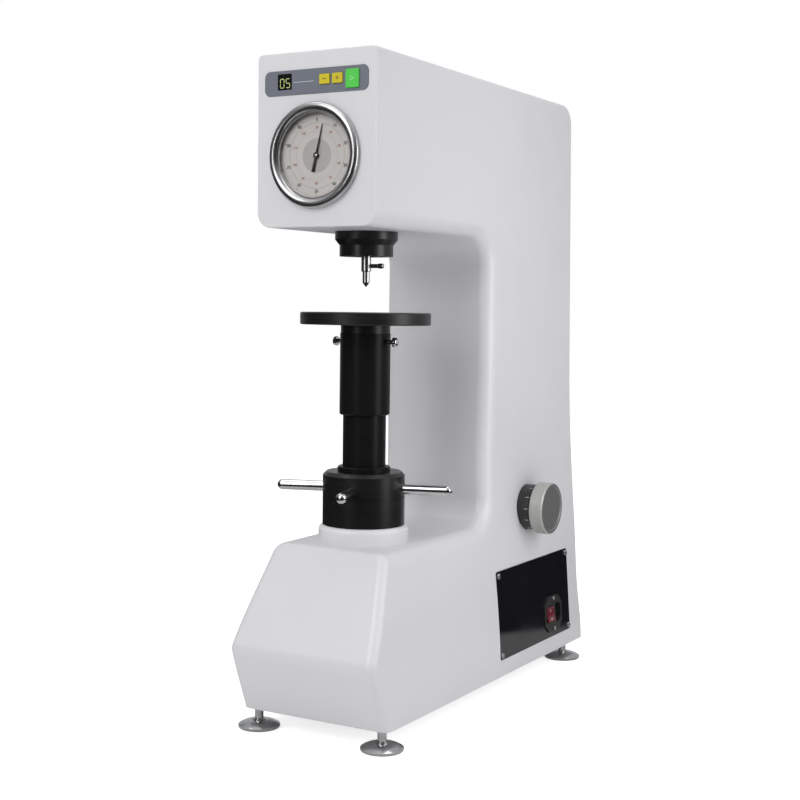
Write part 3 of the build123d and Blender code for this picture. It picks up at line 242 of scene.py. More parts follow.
def finish(name, effect, values, bump, shader_values=None):
    """Material with one effect group feeding colour, roughness and a small bump."""
    mat = bpy.data.materials.new(name)
    mat.use_nodes = True
    tree = mat.node_tree
    shader = tree.nodes["Principled BSDF"]
    group = add_node(tree, "ShaderNodeGroup", node_tree=effect)
    for label, value in values.items():
        group.inputs[label].default_value = value
    for label, value in (shader_values or {}).items():
        shader.inputs[label].default_value = value
    wire(tree, (group, "Colour", shader, "Base Color"),
         (group, "Roughness", shader, "Roughness"))
    relief = add_node(tree, "ShaderNodeBump", values={"Strength": 1.0, "Distance": bump})
    wire(tree, (group, "Height", relief, "Height"),
         (relief, "Normal", shader, "Normal"))
    return mat


def grain_finish(name, colour, pit_colour, roughness, scale, bump, values=None):
    """Plain finish with the fine grain, for mouldings, castings, lacquers and inks."""
    grain = {"Colour": colour, "Pit Colour": pit_colour, "Roughness": roughness,
             "Grain Scale": scale}
    return finish(name, grained, grain, bump, values)


def centre_rings(mat, centre, turn=(0.0, 0.0, 0.0)):
    """Puts the turning axis of a ringed finish at a point, turned so that it runs along Z."""
    tree = mat.node_tree
    group = next(n for n in tree.nodes if n.type == "GROUP")
    where = add_node(tree, "ShaderNodeTexCoord")
    shift = add_node(tree, "ShaderNodeMapping", vector_type="TEXTURE")
    shift.inputs["Location"].default_value = centre
    shift.inputs["Rotation"].default_value = turn
    wire(tree, (where, "Object", shift, "Vector"),
         (shift, "Vector", group, "Position"))
    return mat


def wear(mat, *names):
    """Gives CAD nodes their finish."""
    for name in names:
        slots = nodes[name].data.materials
        slots.clear()
        slots.append(mat)
    print("finish:", mat.name, "on", ", ".join(names))


# %% [markdown]
# The casting and its covers are sprayed in a cool, very light grey gloss enamel. The
# coat layer stands for the clear, hard surface of baked enamel over its pigment.

# %% White enamel
enamel = finish(
    "white enamel", sprayed,
    {"Colour": (0.690, 0.685, 0.705, 1), "Shade Colour": (0.672, 0.667, 0.688, 1),
     "Roughness": 0.36, "Patch Scale": 7.0, "Peel Scale": 230.0},
    0.00003, {"Coat Weight": 0.25, "Coat Roughness": 0.2},
)
wear(enamel, "housing", "top_cover", "rear_cover")
ring_paint = finish(
    "deck ring paint", sprayed,
    {"Colour": (0.74, 0.735, 0.755, 1), "Shade Colour": (0.72, 0.715, 0.735, 1),
     "Roughness": 0.42, "Patch Scale": 14.0, "Peel Scale": 300.0},
    0.00003,
)
wear(ring_paint, "deck_ring")

# %% [markdown]
# The table, both sleeves, the hub and the shroud are turned steel with a black oxide
# skin: nearly black, half gloss, with the lathe's rings showing in the highlights. The
# sleeves slide, so their skin is rubbed to a duller shine, and the table top is ground,
# with broader rings.

# %% Black oxide on turned steel
BLACK = {"Colour": grey(0.0060), "Ring Colour": grey(0.0085), "Roughness": 0.30,
         "Ring Roughness": 0.36, "Ring Scale": 900.0}
oxide = centre_rings(
    finish("black oxide", turned, BLACK, 0.000005, {"Specular IOR Level": 0.45}), SPINDLE_AXIS)
wear(oxide, "spindle_shroud", "handwheel_hub")
sleeve_skin = centre_rings(
    finish("dull black oxide", turned, BLACK, 0.000005, {"Specular IOR Level": 0.11}), SPINDLE_AXIS)
wear(sleeve_skin, "upper_sleeve", "lower_sleeve")
TABLE = dict(BLACK, **{"Roughness": 0.33, "Ring Roughness": 0.42, "Ring Scale": 500.0})
table_skin = centre_rings(
    finish("oxide table top", turned, TABLE, 0.000008, {"Specular IOR Level": 0.45}), SPINDLE_AXIS)
wear(table_skin, "work_table")

# %% [markdown]
# The handwheel rods, the bezel and the thumb screws are chrome plated: a mirror with a
# trace of blur. The spindle and indenter are ground, so their rings are finer, and the
# grip of the set screw is knurled: a deep ring bump gives the relief, and the dark rings
# in its colour are painted shade in the grooves.

# %% Chrome and ground steel
BEZEL = {"Colour": grey(0.60), "Ring Colour": grey(0.54), "Roughness": 0.24,
         "Ring Roughness": 0.33, "Ring Scale": 1400.0}
GROUND = {"Colour": grey(0.62), "Ring Colour": grey(0.56), "Roughness": 0.22,
          "Ring Roughness": 0.30, "Ring Scale": 2600.0}
# The grip's darker Ring Colour is painted shade in the grooves of the knurl.
GRIP = {"Colour": grey(0.42), "Ring Colour": grey(0.22), "Roughness": 0.22,
        "Ring Roughness": 0.30, "Ring Scale": 900.0}
METAL = {"Metallic": 1.0}
FACE_TURN = (math.radians(90), 0.0, 0.0)  # axis along Y, as the dial's
SHAFT_TURN = (0.0, math.radians(90), 0.0)  # axis along X, as the load knob's
rod_chrome = grain_finish("rod chrome", grey(0.66), grey(0.58), roughness=0.10, scale=900.0,
                          bump=0.000004, values=METAL)
wear(rod_chrome, "handwheel_rod_1", "handwheel_rod_2", "handwheel_rod_3", "handwheel_rod_4",
     "sleeve_screws")
bezel_chrome = centre_rings(
    finish("bezel chrome", turned, BEZEL, 0.000004, METAL), DIAL_CENTRE, FACE_TURN)
wear(bezel_chrome, "dial_bezel")
ground_steel = centre_rings(
    finish("ground steel", turned, GROUND, 0.000006, METAL), SPINDLE_AXIS)
wear(ground_steel, "spindle", "indenter")
screw_grip = centre_rings(
    finish("grip of the set screw", turned, GRIP, 0.00012, METAL),
    at(0, 0, SET_SCREW_Z), SHAFT_TURN)
wear(screw_grip, "indenter_screw")

# %% [markdown]
# The levelling feet are dull plated steel. Each stands on its own axis, so each gets
# its own copy of the finish with the rings centred there. On the narrow stud they read
# as fine bands, much as a thread does.

# %% Levelling feet
FOOT = {"Colour": grey(0.56), "Ring Colour": grey(0.46), "Roughness": 0.17,
        "Ring Roughness": 0.24, "Ring Scale": 1100.0}
for name in ("foot_front_left", "foot_front_right", "foot_rear_left", "foot_rear_right"):
    low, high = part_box(name)
    centre = Vector(((low.x + high.x) / 2, (low.y + high.y) / 2, 0.0))
    label = "plating of " + name.replace("_", " ")
    wear(centre_rings(finish(label, turned, FOOT, 0.00001, METAL), centre), name)

# %% [markdown]
# The load knob is machined aluminium, pale on its rim. Its dished face gets a darker
# base colour: a painted reflection of the dark side of the room. Two masks tell the face
# from the rim, and the larger of the two counts: one is the way a surface faces, the other
# its distance from the axis, which takes in the sloping edge of the dish. The dial behind it is
# black.

# %% Load knob and its dial
KNOB_FACING = (0.9, 0.98)  # share of +X in the normal, from rim to face
KNOB_EDGE = (0.0284, 0.0278)  # metres from the axis, from rim to face
knob_metal = centre_rings(
    finish("knob aluminium", turned,
           {"Colour": (0.46, 0.465, 0.44, 1), "Ring Colour": (0.44, 0.445, 0.42, 1),
            "Roughness": 0.42, "Ring Roughness": 0.48, "Ring Scale": 1400.0},
           0.000006, {"Metallic": 0.4}),
    KNOB_CENTRE, SHAFT_TURN,
)
tree = knob_metal.node_tree
shader = tree.nodes["Principled BSDF"]
group = next(n for n in tree.nodes if n.type == "GROUP")
# Painted reflection: a darker base colour on the knob's face stands in for the dark room it mirrors.
painted_reflection = add_node(tree, "ShaderNodeMix", data_type="RGBA", values={"B": (0.175, 0.175, 0.172, 1)})
facing = add_node(tree, "ShaderNodeNewGeometry")
facing_parts = add_node(tree, "ShaderNodeSeparateXYZ")
facing_mask = add_node(tree, "ShaderNodeMapRange",
                       values={"From Min": KNOB_FACING[0], "From Max": KNOB_FACING[1]})
from_axis = add_node(tree, "ShaderNodeVectorMath", operation="MULTIPLY", values={1: (1, 1, 0)})
off_axis = add_node(tree, "ShaderNodeVectorMath", operation="LENGTH")
inner_mask = add_node(tree, "ShaderNodeMapRange",
                      values={"From Min": KNOB_EDGE[0], "From Max": KNOB_EDGE[1]})
painted_reflection_mask = add_node(tree, "ShaderNodeMath", operation="MAXIMUM")
centred = group.inputs["Position"].links[0].from_node
wire(tree,
     (facing, "True Normal", facing_parts, 0),
     (facing_parts, "X", facing_mask, "Value"),
     (centred, "Vector", from_axis, 0),
     (from_axis, "Vector", off_axis, 0),
     (off_axis, "Value", inner_mask, "Value"),
     (facing_mask, "Result", painted_reflection_mask, 0),
     (inner_mask, "Result", painted_reflection_mask, 1),
     (painted_reflection_mask, 0, painted_reflection, "Factor"),
     (group, "Colour", painted_reflection, "A"),
     (painted_reflection, "Result", shader, "Base Color"))
wear(knob_metal, "load_knob")
GRADUATED = dict(BLACK, **{"Ring Scale": 1200.0, "Ring Colour": grey(0.03)})
dial_black = centre_rings(
    finish("graduated dial black", turned, GRADUATED, 0.00003), KNOB_CENTRE, SHAFT_TURN)
wear(dial_black, "load_dial")

# %% [markdown]
# Front panel and dial. The strip is a grey film over metal, the window a smoked filter,
# the keys moulded caps, and the dial a warm, matt printed card behind flat glass.

# %% Panel, keys, dial card and glass
panel_film = grain_finish("panel film", (0.150, 0.163, 0.198, 1), (0.140, 0.152, 0.186, 1),
                          roughness=0.42, scale=2200.0, bump=0.000006)
wear(panel_film, "panel_strip")
smoked = grain_finish("smoked window", (0.006, 0.007, 0.006, 1), (0.008, 0.009, 0.008, 1),
                      roughness=0.12, scale=600.0, bump=0.000002)
wear(smoked, "display_window")
yellow_cap = grain_finish("yellow key cap", (0.61, 0.51, 0.012, 1), (0.57, 0.47, 0.010, 1),
                          roughness=0.32, scale=1600.0, bump=0.000006)
wear(yellow_cap, "left_key", "middle_key")
green_cap = grain_finish("green key cap", (0.085, 0.60, 0.075, 1), (0.075, 0.55, 0.065, 1),
                         roughness=0.30, scale=1600.0, bump=0.000006)
wear(green_cap, "green_key")
card = grain_finish("printed card", (0.66, 0.63, 0.605, 1), (0.64, 0.61, 0.585, 1), roughness=0.6,
                    scale=1200.0, bump=0.000004)
wear(card, "dial_face")
needle_black = grain_finish("needle lacquer", grey(0.010), grey(0.014), roughness=0.35,
                            scale=1800.0, bump=0.000003)
wear(needle_black, "dial_needle")

# %% [markdown]
# Flat glass over the dial: a clear pane with full transmission and no tint. A lamp's
# light reaches the card through it in full, so for shadow rays the pane gives way: its
# alpha falls to almost nothing there, and only there.

# %% Dial glass
glass = finish("dial glass", sprayed, {"Colour": grey(1.0), "Shade Colour": grey(0.985),
               "Roughness": 0.0, "Patch Scale": 20.0, "Peel Scale": 40.0}, 0.000001,
               {"Transmission Weight": 1.0, "IOR": 1.45})
tree = glass.node_tree
pane = tree.nodes["Principled BSDF"]
tree.links.remove(pane.inputs["Roughness"].links[0])
pane.inputs["Roughness"].default_value = 0.0
SHADOW_LET_THROUGH = 0.95
rays = add_node(tree, "ShaderNodeLightPath")
through = add_node(tree, "ShaderNodeMath", operation="MULTIPLY_ADD",
                   values={1: -SHADOW_LET_THROUGH, 2: 1.0})
wire(tree, (rays, "Is Shadow Ray", through, 0),
     (through, 0, pane, "Alpha"))
wear(glass, "dial_glass")

# %% [markdown]
# Power plate, inlet, rocker and pins. The plate is black glass-smooth lacquer, the
# inlet is plain moulded plastic, and the rocker a deep translucent red with a faint
# painted glow, an emission that stands in for light through the red plastic.

# %% Power side
lacquer = finish("black lacquer", sprayed, {"Colour": (0.0065, 0.0060, 0.0085, 1),
                 "Shade Colour": (0.0080, 0.0075, 0.0100, 1), "Roughness": 0.04,
                 "Patch Scale": 12.0, "Peel Scale": 160.0}, 0.000004,
                 {"Specular IOR Level": 0.5})
wear(lacquer, "power_plate")
moulding = grain_finish("moulded inlet", grey(0.014), grey(0.022), roughness=0.38, scale=1700.0,
                        bump=0.00002)
wear(moulding, "mains_inlet")
# The rocker's faint red emission is a painted glow, standing in for light passing through the
# translucent red.
rocker_red = grain_finish("rocker red", (0.115, 0.006, 0.014, 1), (0.100, 0.005, 0.012, 1),
                          roughness=0.26, scale=900.0, bump=0.000006,
                          values={"Specular IOR Level": 0.35, "Emission Strength": 0.03,
                                  "Emission Color": (0.4, 0.01, 0.03, 1)})
wear(rocker_red, "power_rocker")
pin_metal = grain_finish("pin plating", (0.72, 0.68, 0.55, 1), (0.66, 0.60, 0.46, 1),
                         roughness=0.22, scale=1400.0, bump=0.000006, values=METAL)
wear(pin_metal, "inlet_pins")

# %% [markdown]
# The works inside are not seen until a cover comes off, but they are dressed as well:
# grey cast iron for the lever and weights, bronze for bushes, die-cast aluminium for
# the bought-in units, solder mask for the board.

# %% Works inside
iron = grain_finish("machined cast iron", grey(0.085), grey(0.055), roughness=0.46, scale=1100.0,
                    bump=0.00003, values={"Metallic": 0.7})
wear(iron, "elevating_screw", "loading_lever", "weight_hanger", "weight_large", "weight_middle",
     "weight_small")
bronze = grain_finish("bush bronze", (0.50, 0.31, 0.12, 1), (0.42, 0.25, 0.09, 1), roughness=0.3,
                      scale=1300.0, bump=0.00001, values=METAL)
wear(bronze, "spindle_bush", "screw_guide", "shaft_bush", "thrust_washer")
cast_grey = grain_finish("die cast grey", grey(0.36), grey(0.28), roughness=0.42, scale=900.0,
                         bump=0.00003, values={"Metallic": 0.8})
wear(cast_grey, "gauge_can", "loading_motor", "damper_cylinder", "power_supply")
works_steel = grain_finish("works steel", grey(0.42), grey(0.34), roughness=0.3, scale=1500.0,
                           bump=0.00001, values=METAL)
wear(works_steel, "load_shaft", "selector_disc", "lifting_cam", "fulcrum", "damper_piston")
mask_green = grain_finish("solder mask", (0.012, 0.11, 0.035, 1), (0.010, 0.09, 0.030, 1),
                          roughness=0.3, scale=700.0, bump=0.00001)
wear(mask_green, "control_board")

# %% [markdown]
# New pieces are modelled as by hand: a primitive at its size and place, shaped in edit
# mode. Two habits keep that safe. Everything is deselected before a primitive is added,
# and afterwards its place, turn and scale are applied, so the object itself stays at
# the origin and its shape holds the place, as the CAD nodes do.

# %% Modelling helpers
SMOOTH_ANGLE = math.radians(35)  # edges sharper than this stay sharp


def clear_selection():
    """Leaves nothing selected and no object in edit mode."""
    if bpy.context.object and bpy.context.object.mode != "OBJECT":
        bpy.ops.object.mode_set(mode="OBJECT")
    bpy.ops.object.select_all(action="DESELECT")


def only(obj):
    """Selects one object alone and makes it the active one."""
    clear_selection()
    obj.select_set(True)
    bpy.context.view_layer.objects.active = obj


def named(name):
    """Names the object that was just added and gives it back."""
    obj = bpy.context.object
    obj.name = name
    obj.data.name = name
    return obj


def settle(obj):
    """Applies place, turn and scale, so that the object sits at the origin."""
    only(obj)
    bpy.ops.object.transform_apply(location=True, rotation=True, scale=True)
    return obj


def edit(obj, mode="FACE"):
    """Opens an object in edit mode with its present face or edge selection."""
    only(obj)
    bpy.ops.object.mode_set(mode="EDIT")
    bpy.ops.mesh.select_mode(type=mode)


def close(obj):
    """Leaves edit mode with the outside of the shape facing out."""
    bpy.ops.mesh.select_all(action="SELECT")
    bpy.ops.mesh.remove_doubles(threshold=0.000001)
    bpy.ops.mesh.normals_make_consistent(inside=False)
    bpy.ops.object.mode_set(mode="OBJECT")
    return obj


def pick_faces(obj, test):
    """Selects the faces that pass a test on their centre and normal, and nothing else."""
    for v in obj.data.vertices:
        v.select = False
    for e in obj.data.edges:
        e.select = False
    for p in obj.data.polygons:
        p.select = test(p.center, p.normal)


def copy_of(obj, name, matrix):
    """Copy with its own mesh, moved by a matrix that goes straight into the mesh."""
    twin = obj.copy()
    twin.data = obj.data.copy()
    twin.name = name
    twin.data.name = name
    bpy.context.scene.collection.objects.link(twin)
    twin.data.transform(matrix)
    return twin


def joined(pieces, name):
    """Joins pieces into one object under one name."""
    clear_selection()
    for piece in pieces:
        piece.select_set(True)
    bpy.context.view_layer.objects.active = pieces[0]
    bpy.ops.object.join()
    return named(name)


def dress(obj, mat, body):
    """Gives a new piece its finish, its body and the material slot it stands for."""
    obj.data.materials.clear()
    obj.data.materials.append(mat)
    only(obj)
    bpy.ops.object.shade_smooth_by_angle(angle=SMOOTH_ANGLE)
    obj.select_set(False)
    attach(obj, body)
    print("piece:", obj.name, "faces", len(obj.data.polygons), "rides on", body)
    return obj


# %% [markdown]
# The front of the head is an upright plane, so print on it can be drawn flat on the
# ground and stood up. One matrix does that: it takes a drawing in X and Y, with its
# thickness in Z, to the face of the head at a given centre and depth.

# %% Standing a drawing up on the front
PRINT = 0.00004  # thickness of a layer of ink, in metres
CARD_Y = HEAD_FRONT_Y + 3.4  # the dial's card, a little behind the head's front


def on_front(x, z, y):
    """Matrix that stands a flat drawing up, facing the operator, centred at x and z."""
    return Matrix.Translation(at(x, y, z)) @ Matrix.Rotation(math.radians(90), 4, "X")


ink_black = grain_finish("dial ink", grey(0.090), grey(0.110), roughness=0.55, scale=2500.0,
                         bump=0.000002)
ink_grey = grain_finish("pale dial ink", (0.30, 0.285, 0.275, 1), (0.33, 0.31, 0.30, 1),
                        roughness=0.55, scale=2500.0, bump=0.000002)
ink_red = grain_finish("red dial ink", (0.40, 0.20, 0.18, 1), (0.44, 0.24, 0.22, 1), roughness=0.55,
                       scale=2500.0, bump=0.000002)

# %% [markdown]
# The dial card has a hundred divisions, with every tenth longer. One tick is modelled
# as a thin bar of ink: a plane narrowed to a stroke and extruded by the ink's
# thickness. The rest are copies turned about the centre, joined into one print.

# %% Dial divisions
DIVISIONS = 100
SHORT_TICK = (0.26, 1.6)  # width and length
LONG_TICK = (0.60, 3.4)
SHORT_AT = 43.4  # middle of the tick from the dial's centre
LONG_AT = 42.6


def thicken():
    """Gives the whole shape that is open in edit mode the thickness of ink."""
    bpy.ops.mesh.select_all(action="SELECT")
    bpy.ops.mesh.extrude_region_move(TRANSFORM_OT_translate={"value": (0, 0, PRINT)})


def ink_bar(name, width, height):
    """Flat bar of ink lying on the ground, centred on the origin."""
    clear_selection()
    bpy.ops.mesh.primitive_plane_add(size=1)
    bar = named(name)
    bar.scale = (width * MM, height * MM, 1)
    settle(bar)
    edit(bar)
    thicken()
    return close(bar)


short_tick = ink_bar("short_tick", *SHORT_TICK)
long_tick = ink_bar("long_tick", *LONG_TICK)
ticks = []
for k in range(DIVISIONS):
    pattern, reach = (long_tick, LONG_AT) if k % 10 == 0 else (short_tick, SHORT_AT)
    spin = (Matrix.Rotation(-math.tau * k / DIVISIONS, 4, "Z")
            @ Matrix.Translation((0, reach * MM, 0)))
    ticks.append(copy_of(pattern, f"tick_{k}", on_front(0, DIAL_Z, CARD_Y) @ spin))
divisions = joined(ticks, "dial_divisions")
dress(divisions, ink_black, "bezel")
for pattern in (short_tick, long_tick):
    bpy.data.objects.remove(pattern)

# %% [markdown]
# Fine circles separate the two scales. Each starts as a filled circle, whose inset
# leaves a narrow rim; the middle is deleted and the rim is given the ink's thickness.
# The darker disc in the middle of the card is a filled circle with a faint step round it.

# %% Scale circles and the centre disc


def ink_ring(name, radius, width, corners=128, turn=0):
    """Narrow flat ring of ink lying on the ground; with three corners, a hollow triangle."""
    clear_selection()
    bpy.ops.mesh.primitive_circle_add(vertices=corners, radius=radius * MM, fill_type="NGON",
                                      rotation=(0, 0, math.radians(turn)))
    ring = settle(named(name))
    edit(ring)
    bpy.ops.mesh.select_all(action="SELECT")
    bpy.ops.mesh.inset(thickness=width * MM, depth=0)
    bpy.ops.mesh.delete(type="FACE")
    thicken()
    return close(ring)


OUTER_CIRCLE = (35.2, 0.35)  # radius and width of the stroke
INNER_CIRCLE = (26.4, 0.2)
DISC_R = 18.4
DISC_STEP = 0.35
circles = [ink_ring("outer_circle", *OUTER_CIRCLE), ink_ring("inner_circle", *INNER_CIRCLE)]
for circle in circles:
    circle.data.transform(on_front(0, DIAL_Z, CARD_Y))
dress(joined(circles, "dial_circles"), ink_grey, "bezel")

clear_selection()
bpy.ops.mesh.primitive_circle_add(vertices=96, radius=DISC_R * MM, fill_type="NGON")
disc = named("dial_centre_disc")
edit(disc)
thicken()
bpy.ops.mesh.inset(thickness=DISC_STEP * MM, depth=0.02 * MM)
bpy.ops.mesh.inset(thickness=DISC_STEP * MM, depth=-0.02 * MM)
close(disc)
disc.data.transform(on_front(0, DIAL_Z, CARD_Y))
disc_ink = grain_finish("centre disc ink", (0.50, 0.475, 0.455, 1), (0.48, 0.455, 0.435, 1),
                        roughness=0.5, scale=1600.0, bump=0.000003)
dress(disc, disc_ink, "bezel")

# %% [markdown]
# Plain numbers go round both scales: tens on the outer one in black, a second scale
# inside it in faded red. Text is typed as a text object, turned into a mesh, and only
# then stood up on the card.

# %% Dial numbers
STROKE = 0.16  # the letters are drawn bolder by this much


def ink_text(name, body, size):
    """Short text as a thin mesh lying on the ground, centred on the origin."""
    clear_selection()
    bpy.ops.object.text_add()
    words = bpy.context.object
    words.data.body = body
    words.data.size = size * MM
    words.data.align_x = "CENTER"
    words.data.align_y = "CENTER"
    words.data.extrude = PRINT / 2
    words.data.offset = STROKE * MM
    words.data.resolution_u = 4
    bpy.ops.object.convert(target="MESH")
    return named(name)


def number_ring(name, values, radius, size, mat):
    """Ring of upright numbers on the dial card, joined into one print."""
    prints = []
    for k, value in enumerate(values):
        turn = math.tau * k / len(values)
        number = ink_text(f"{name}_{k}", str(value), size)
        place = on_front(radius * math.sin(turn), DIAL_Z + radius * math.cos(turn), CARD_Y)
        number.data.transform(place)
        prints.append(number)
    dress(joined(prints, name), mat, "bezel")


number_ring("outer_numbers", [0] + list(range(10, 100, 10)), 38.2, 4.8, ink_black)
number_ring("inner_numbers", [30] + list(range(40, 130, 10)), 29.8, 4.0, ink_red)

# %% [markdown]
# The needle turns on a bright little cap. It is turned metal: a short cylinder whose
# crown is drawn up in two steps by insets.

# %% Needle cap
needle_y = (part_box("dial_needle")[0].y - SPINDLE_Y) / MM
clear_selection()
CAP_R = 1.7
CAP_H = 0.8
bpy.ops.mesh.primitive_cylinder_add(vertices=32, radius=CAP_R * MM, depth=CAP_H * MM,
                                    location=(0, 0, 0.2 * MM))
cap = settle(named("needle_cap"))
pick_faces(cap, lambda centre, normal: normal.z > 0.9)
edit(cap)
bpy.ops.mesh.inset(thickness=0.45 * MM, depth=0.3 * MM)
bpy.ops.mesh.inset(thickness=0.55 * MM, depth=0.12 * MM)
close(cap)
cap.data.transform(on_front(0, DIAL_Z, needle_y))
dress(cap, bezel_chrome, "needle")

# %% [markdown]
# The window shows two seven-segment digits. One segment is a slim hexagon: a circle of
# six corners stretched to a bar that narrows to both ends, then given thickness. Seven
# places make a digit, and each digit lights only the segments it needs.

# %% Lit digits
lit = grain_finish("lit segment", (0.38, 0.44, 0.16, 1), (0.34, 0.40, 0.14, 1),
                   roughness=0.4, scale=2000.0, bump=0.000001,
                   values={"Emission Color": (0.60, 0.72, 0.26, 1), "Emission Strength": 0.35})
SEG_LENGTH = 4.4
SEG_WIDTH = 0.95
SEG_GAP = 0.15  # dark joint between two segments
DIGIT_PLACES = (("0", -43.3), ("5", -35.9))
DIGIT_Z = 719.6
clear_selection()
bpy.ops.mesh.primitive_circle_add(vertices=6, radius=SEG_WIDTH / 2 * MM, fill_type="NGON",
                                  rotation=(0, 0, math.radians(30)))
segment = settle(named("segment"))
edit(segment, "VERT")
for direction in (-1, 1):
    bpy.ops.mesh.select_all(action="DESELECT")
    bpy.ops.object.mode_set(mode="OBJECT")
    for v in segment.data.vertices:
        v.select = v.co.y * direction > 1e-6
    bpy.ops.object.mode_set(mode="EDIT")
    bpy.ops.transform.translate(value=(0, direction * (SEG_LENGTH - SEG_WIDTH) / 2 * MM, 0))
bpy.ops.mesh.select_mode(type="FACE")
thicken()
close(segment)
HALF = SEG_LENGTH / 2 + SEG_GAP
SEGMENTS = {"a": (0, 2 * HALF, 90), "b": (HALF, HALF, 0), "c": (HALF, -HALF, 0),
            "d": (0, -2 * HALF, 90), "e": (-HALF, -HALF, 0), "f": (-HALF, HALF, 0), "g": (0, 0, 90)}
DIGITS = {"0": "abcdef", "5": "acdfg"}
window_y = (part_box("display_window")[0].y - SPINDLE_Y) / MM
lit_parts = []
for digit, centre_x in DIGIT_PLACES:
    for letter in DIGITS[digit]:
        x, z, turn = SEGMENTS[letter]
        place = Matrix.Translation((x * MM, z * MM, 0)) @ Matrix.Rotation(math.radians(turn), 4, "Z")
        lit_parts.append(copy_of(segment, "seg", on_front(centre_x, DIGIT_Z, window_y) @ place))
dress(joined(lit_parts, "lit_digits"), lit, "machine")
bpy.data.objects.remove(segment)

# %% [markdown]
# The strip carries a fine white rule between window and keys. The caps of the two
# yellow keys carry a minus and a plus sign, and the green key a start triangle: signs
# that any such panel uses.

# %% Panel print
ink_white = grain_finish("white panel ink", grey(0.70), grey(0.64), roughness=0.5, scale=2400.0,
                         bump=0.000002)
sign_ink = grain_finish("dark key ink", (0.22, 0.12, 0.01, 1), (0.26, 0.15, 0.01, 1), roughness=0.5,
                        scale=2400.0, bump=0.000002)
SIGN = (4.6, 1.1)  # stroke of the minus and of the plus, width and height
ARM = 1.75  # upper and lower arm of the plus
RULE_AT = (-15.5, 719.9)  # across and up, of each print's centre
MINUS_AT = (12.0, 721.0)
PLUS_AT = (28.2, 721.0)
START_AT = (46.3, 719.5)
strip_y = (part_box("panel_strip")[0].y - SPINDLE_Y) / MM
key_y = (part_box("left_key")[0].y - SPINDLE_Y) / MM
rule = ink_bar("panel_rule", 26.0, 0.45)
rule.data.transform(on_front(*RULE_AT, strip_y))
dress(rule, ink_white, "machine")
minus = ink_bar("minus_sign", *SIGN)
minus.data.transform(on_front(*MINUS_AT, key_y))
dress(minus, sign_ink, "left_key")
cross = [ink_bar("plus_across", *SIGN)]
for name, up in (("plus_up", 1.425), ("plus_down", -1.425)):
    arm = ink_bar(name, SIGN[1], ARM)
    arm.data.transform(Matrix.Translation((0, up * MM, 0)))
    cross.append(arm)
plus = joined(cross, "plus_sign")
plus.data.transform(on_front(*PLUS_AT, key_y))
dress(plus, sign_ink, "middle_key")
start_sign = ink_ring("start_sign", 3.4, 0.7, corners=3, turn=-90)
start_sign.data.transform(on_front(*START_AT, key_y))
pale_green = grain_finish("pale green ink", (0.30, 0.72, 0.30, 1), (0.27, 0.68, 0.27, 1),
                          roughness=0.5, scale=2400.0, bump=0.000002)
dress(start_sign, pale_green, "green_key")

# %% [markdown]
# The screws of the covers, the plate and the inlet are pan heads with a cross recess.
# One head is modelled from a cylinder: its rim is bevelled to a dome, and a cross made
# of two tapered bars is cut out of its crown with a Boolean modifier. Each CAD group of
# screws is then stood for by copies of that head on the CAD's own places.

# %% One pan head
HEAD_R = 3.6
HEAD_H = 2.2
DOME = 1.25  # rounding of the rim
RECESS = (3.7, 0.85, 2.4)  # length, width and height of one bar of the cross
TAPER = 0.55  # size of the bar at its foot against its top
clear_selection()
bpy.ops.mesh.primitive_cylinder_add(vertices=40, radius=HEAD_R * MM, depth=HEAD_H * MM,
                                    location=(0, 0, HEAD_H / 2 * MM))
head = settle(named("pan_head"))
pick_faces(head, lambda centre, normal: normal.z > 0.9)
edit(head)
bpy.ops.mesh.bevel(offset=DOME * MM, segments=5, profile=0.5, affect="EDGES")
close(head)
for turn in (0, 90):
    clear_selection()
    bpy.ops.mesh.primitive_cube_add(size=1, location=(0, 0, (HEAD_H + 0.1) * MM),
                                    rotation=(0, 0, math.radians(turn)))
    cutter = named(f"recess_{turn}")
    cutter.scale = [size * MM for size in RECESS]
    settle(cutter)
    for v in cutter.data.vertices:
        if v.co.z < HEAD_H * MM:
            v.co.x *= TAPER
            v.co.y *= TAPER
    only(head)
    cut = head.modifiers.new("recess", "BOOLEAN")
    cut.operation = "DIFFERENCE"
    cut.solver = "EXACT"
    cut.object = cutter
    bpy.ops.object.modifier_apply(modifier=cut.name)
    bpy.data.objects.remove(cutter)
print("pan head faces:", len(head.data.polygons))

# %% [markdown]
# Where the heads go is read from the CAD groups themselves. The vertices of each screw
# are gathered by nearness. Their middle and the outward direction of the wall give the
# matrix for one copy, and their reach its width. So the heads follow any later change of
# the model. Each head is turned further than the last, as a screwdriver leaves them.

# %% Heads on the CAD screws
screw_zinc = grain_finish("zinc plated screw", grey(0.50), grey(0.40), roughness=0.24, scale=1500.0,
                          bump=0.000005, values=METAL)
SAME_SCREW = 2.4 * HEAD_R * MM  # vertices nearer than this belong to one screw
FIRST_TURN = 17
NEXT_TURN = 47


def screw_places(node, outward):
    """Centre of each screw's outer end and its size, found by grouping the vertices."""
    out = Vector(outward).normalized()
    points = [v.co.copy() for v in nodes[node].data.vertices]
    groups = []
    for p in points:
        flat_p = p - out * p.dot(out)
        for g in groups:
            if (g["flat"] - flat_p).length < SAME_SCREW:
                g["points"].append(p)
                break
        else:
            groups.append({"flat": flat_p, "points": [p]})
    centres = []
    for g in groups:
        top = max(p.dot(out) for p in g["points"])
        flats = [p - out * p.dot(out) for p in g["points"]]
        mid = Vector([(min(f[i] for f in flats) + max(f[i] for f in flats)) / 2 for i in range(3)])
        reach = max((f - mid).length for f in flats)
        centres.append((mid + out * top, reach / (HEAD_R * MM)))
    return centres, out


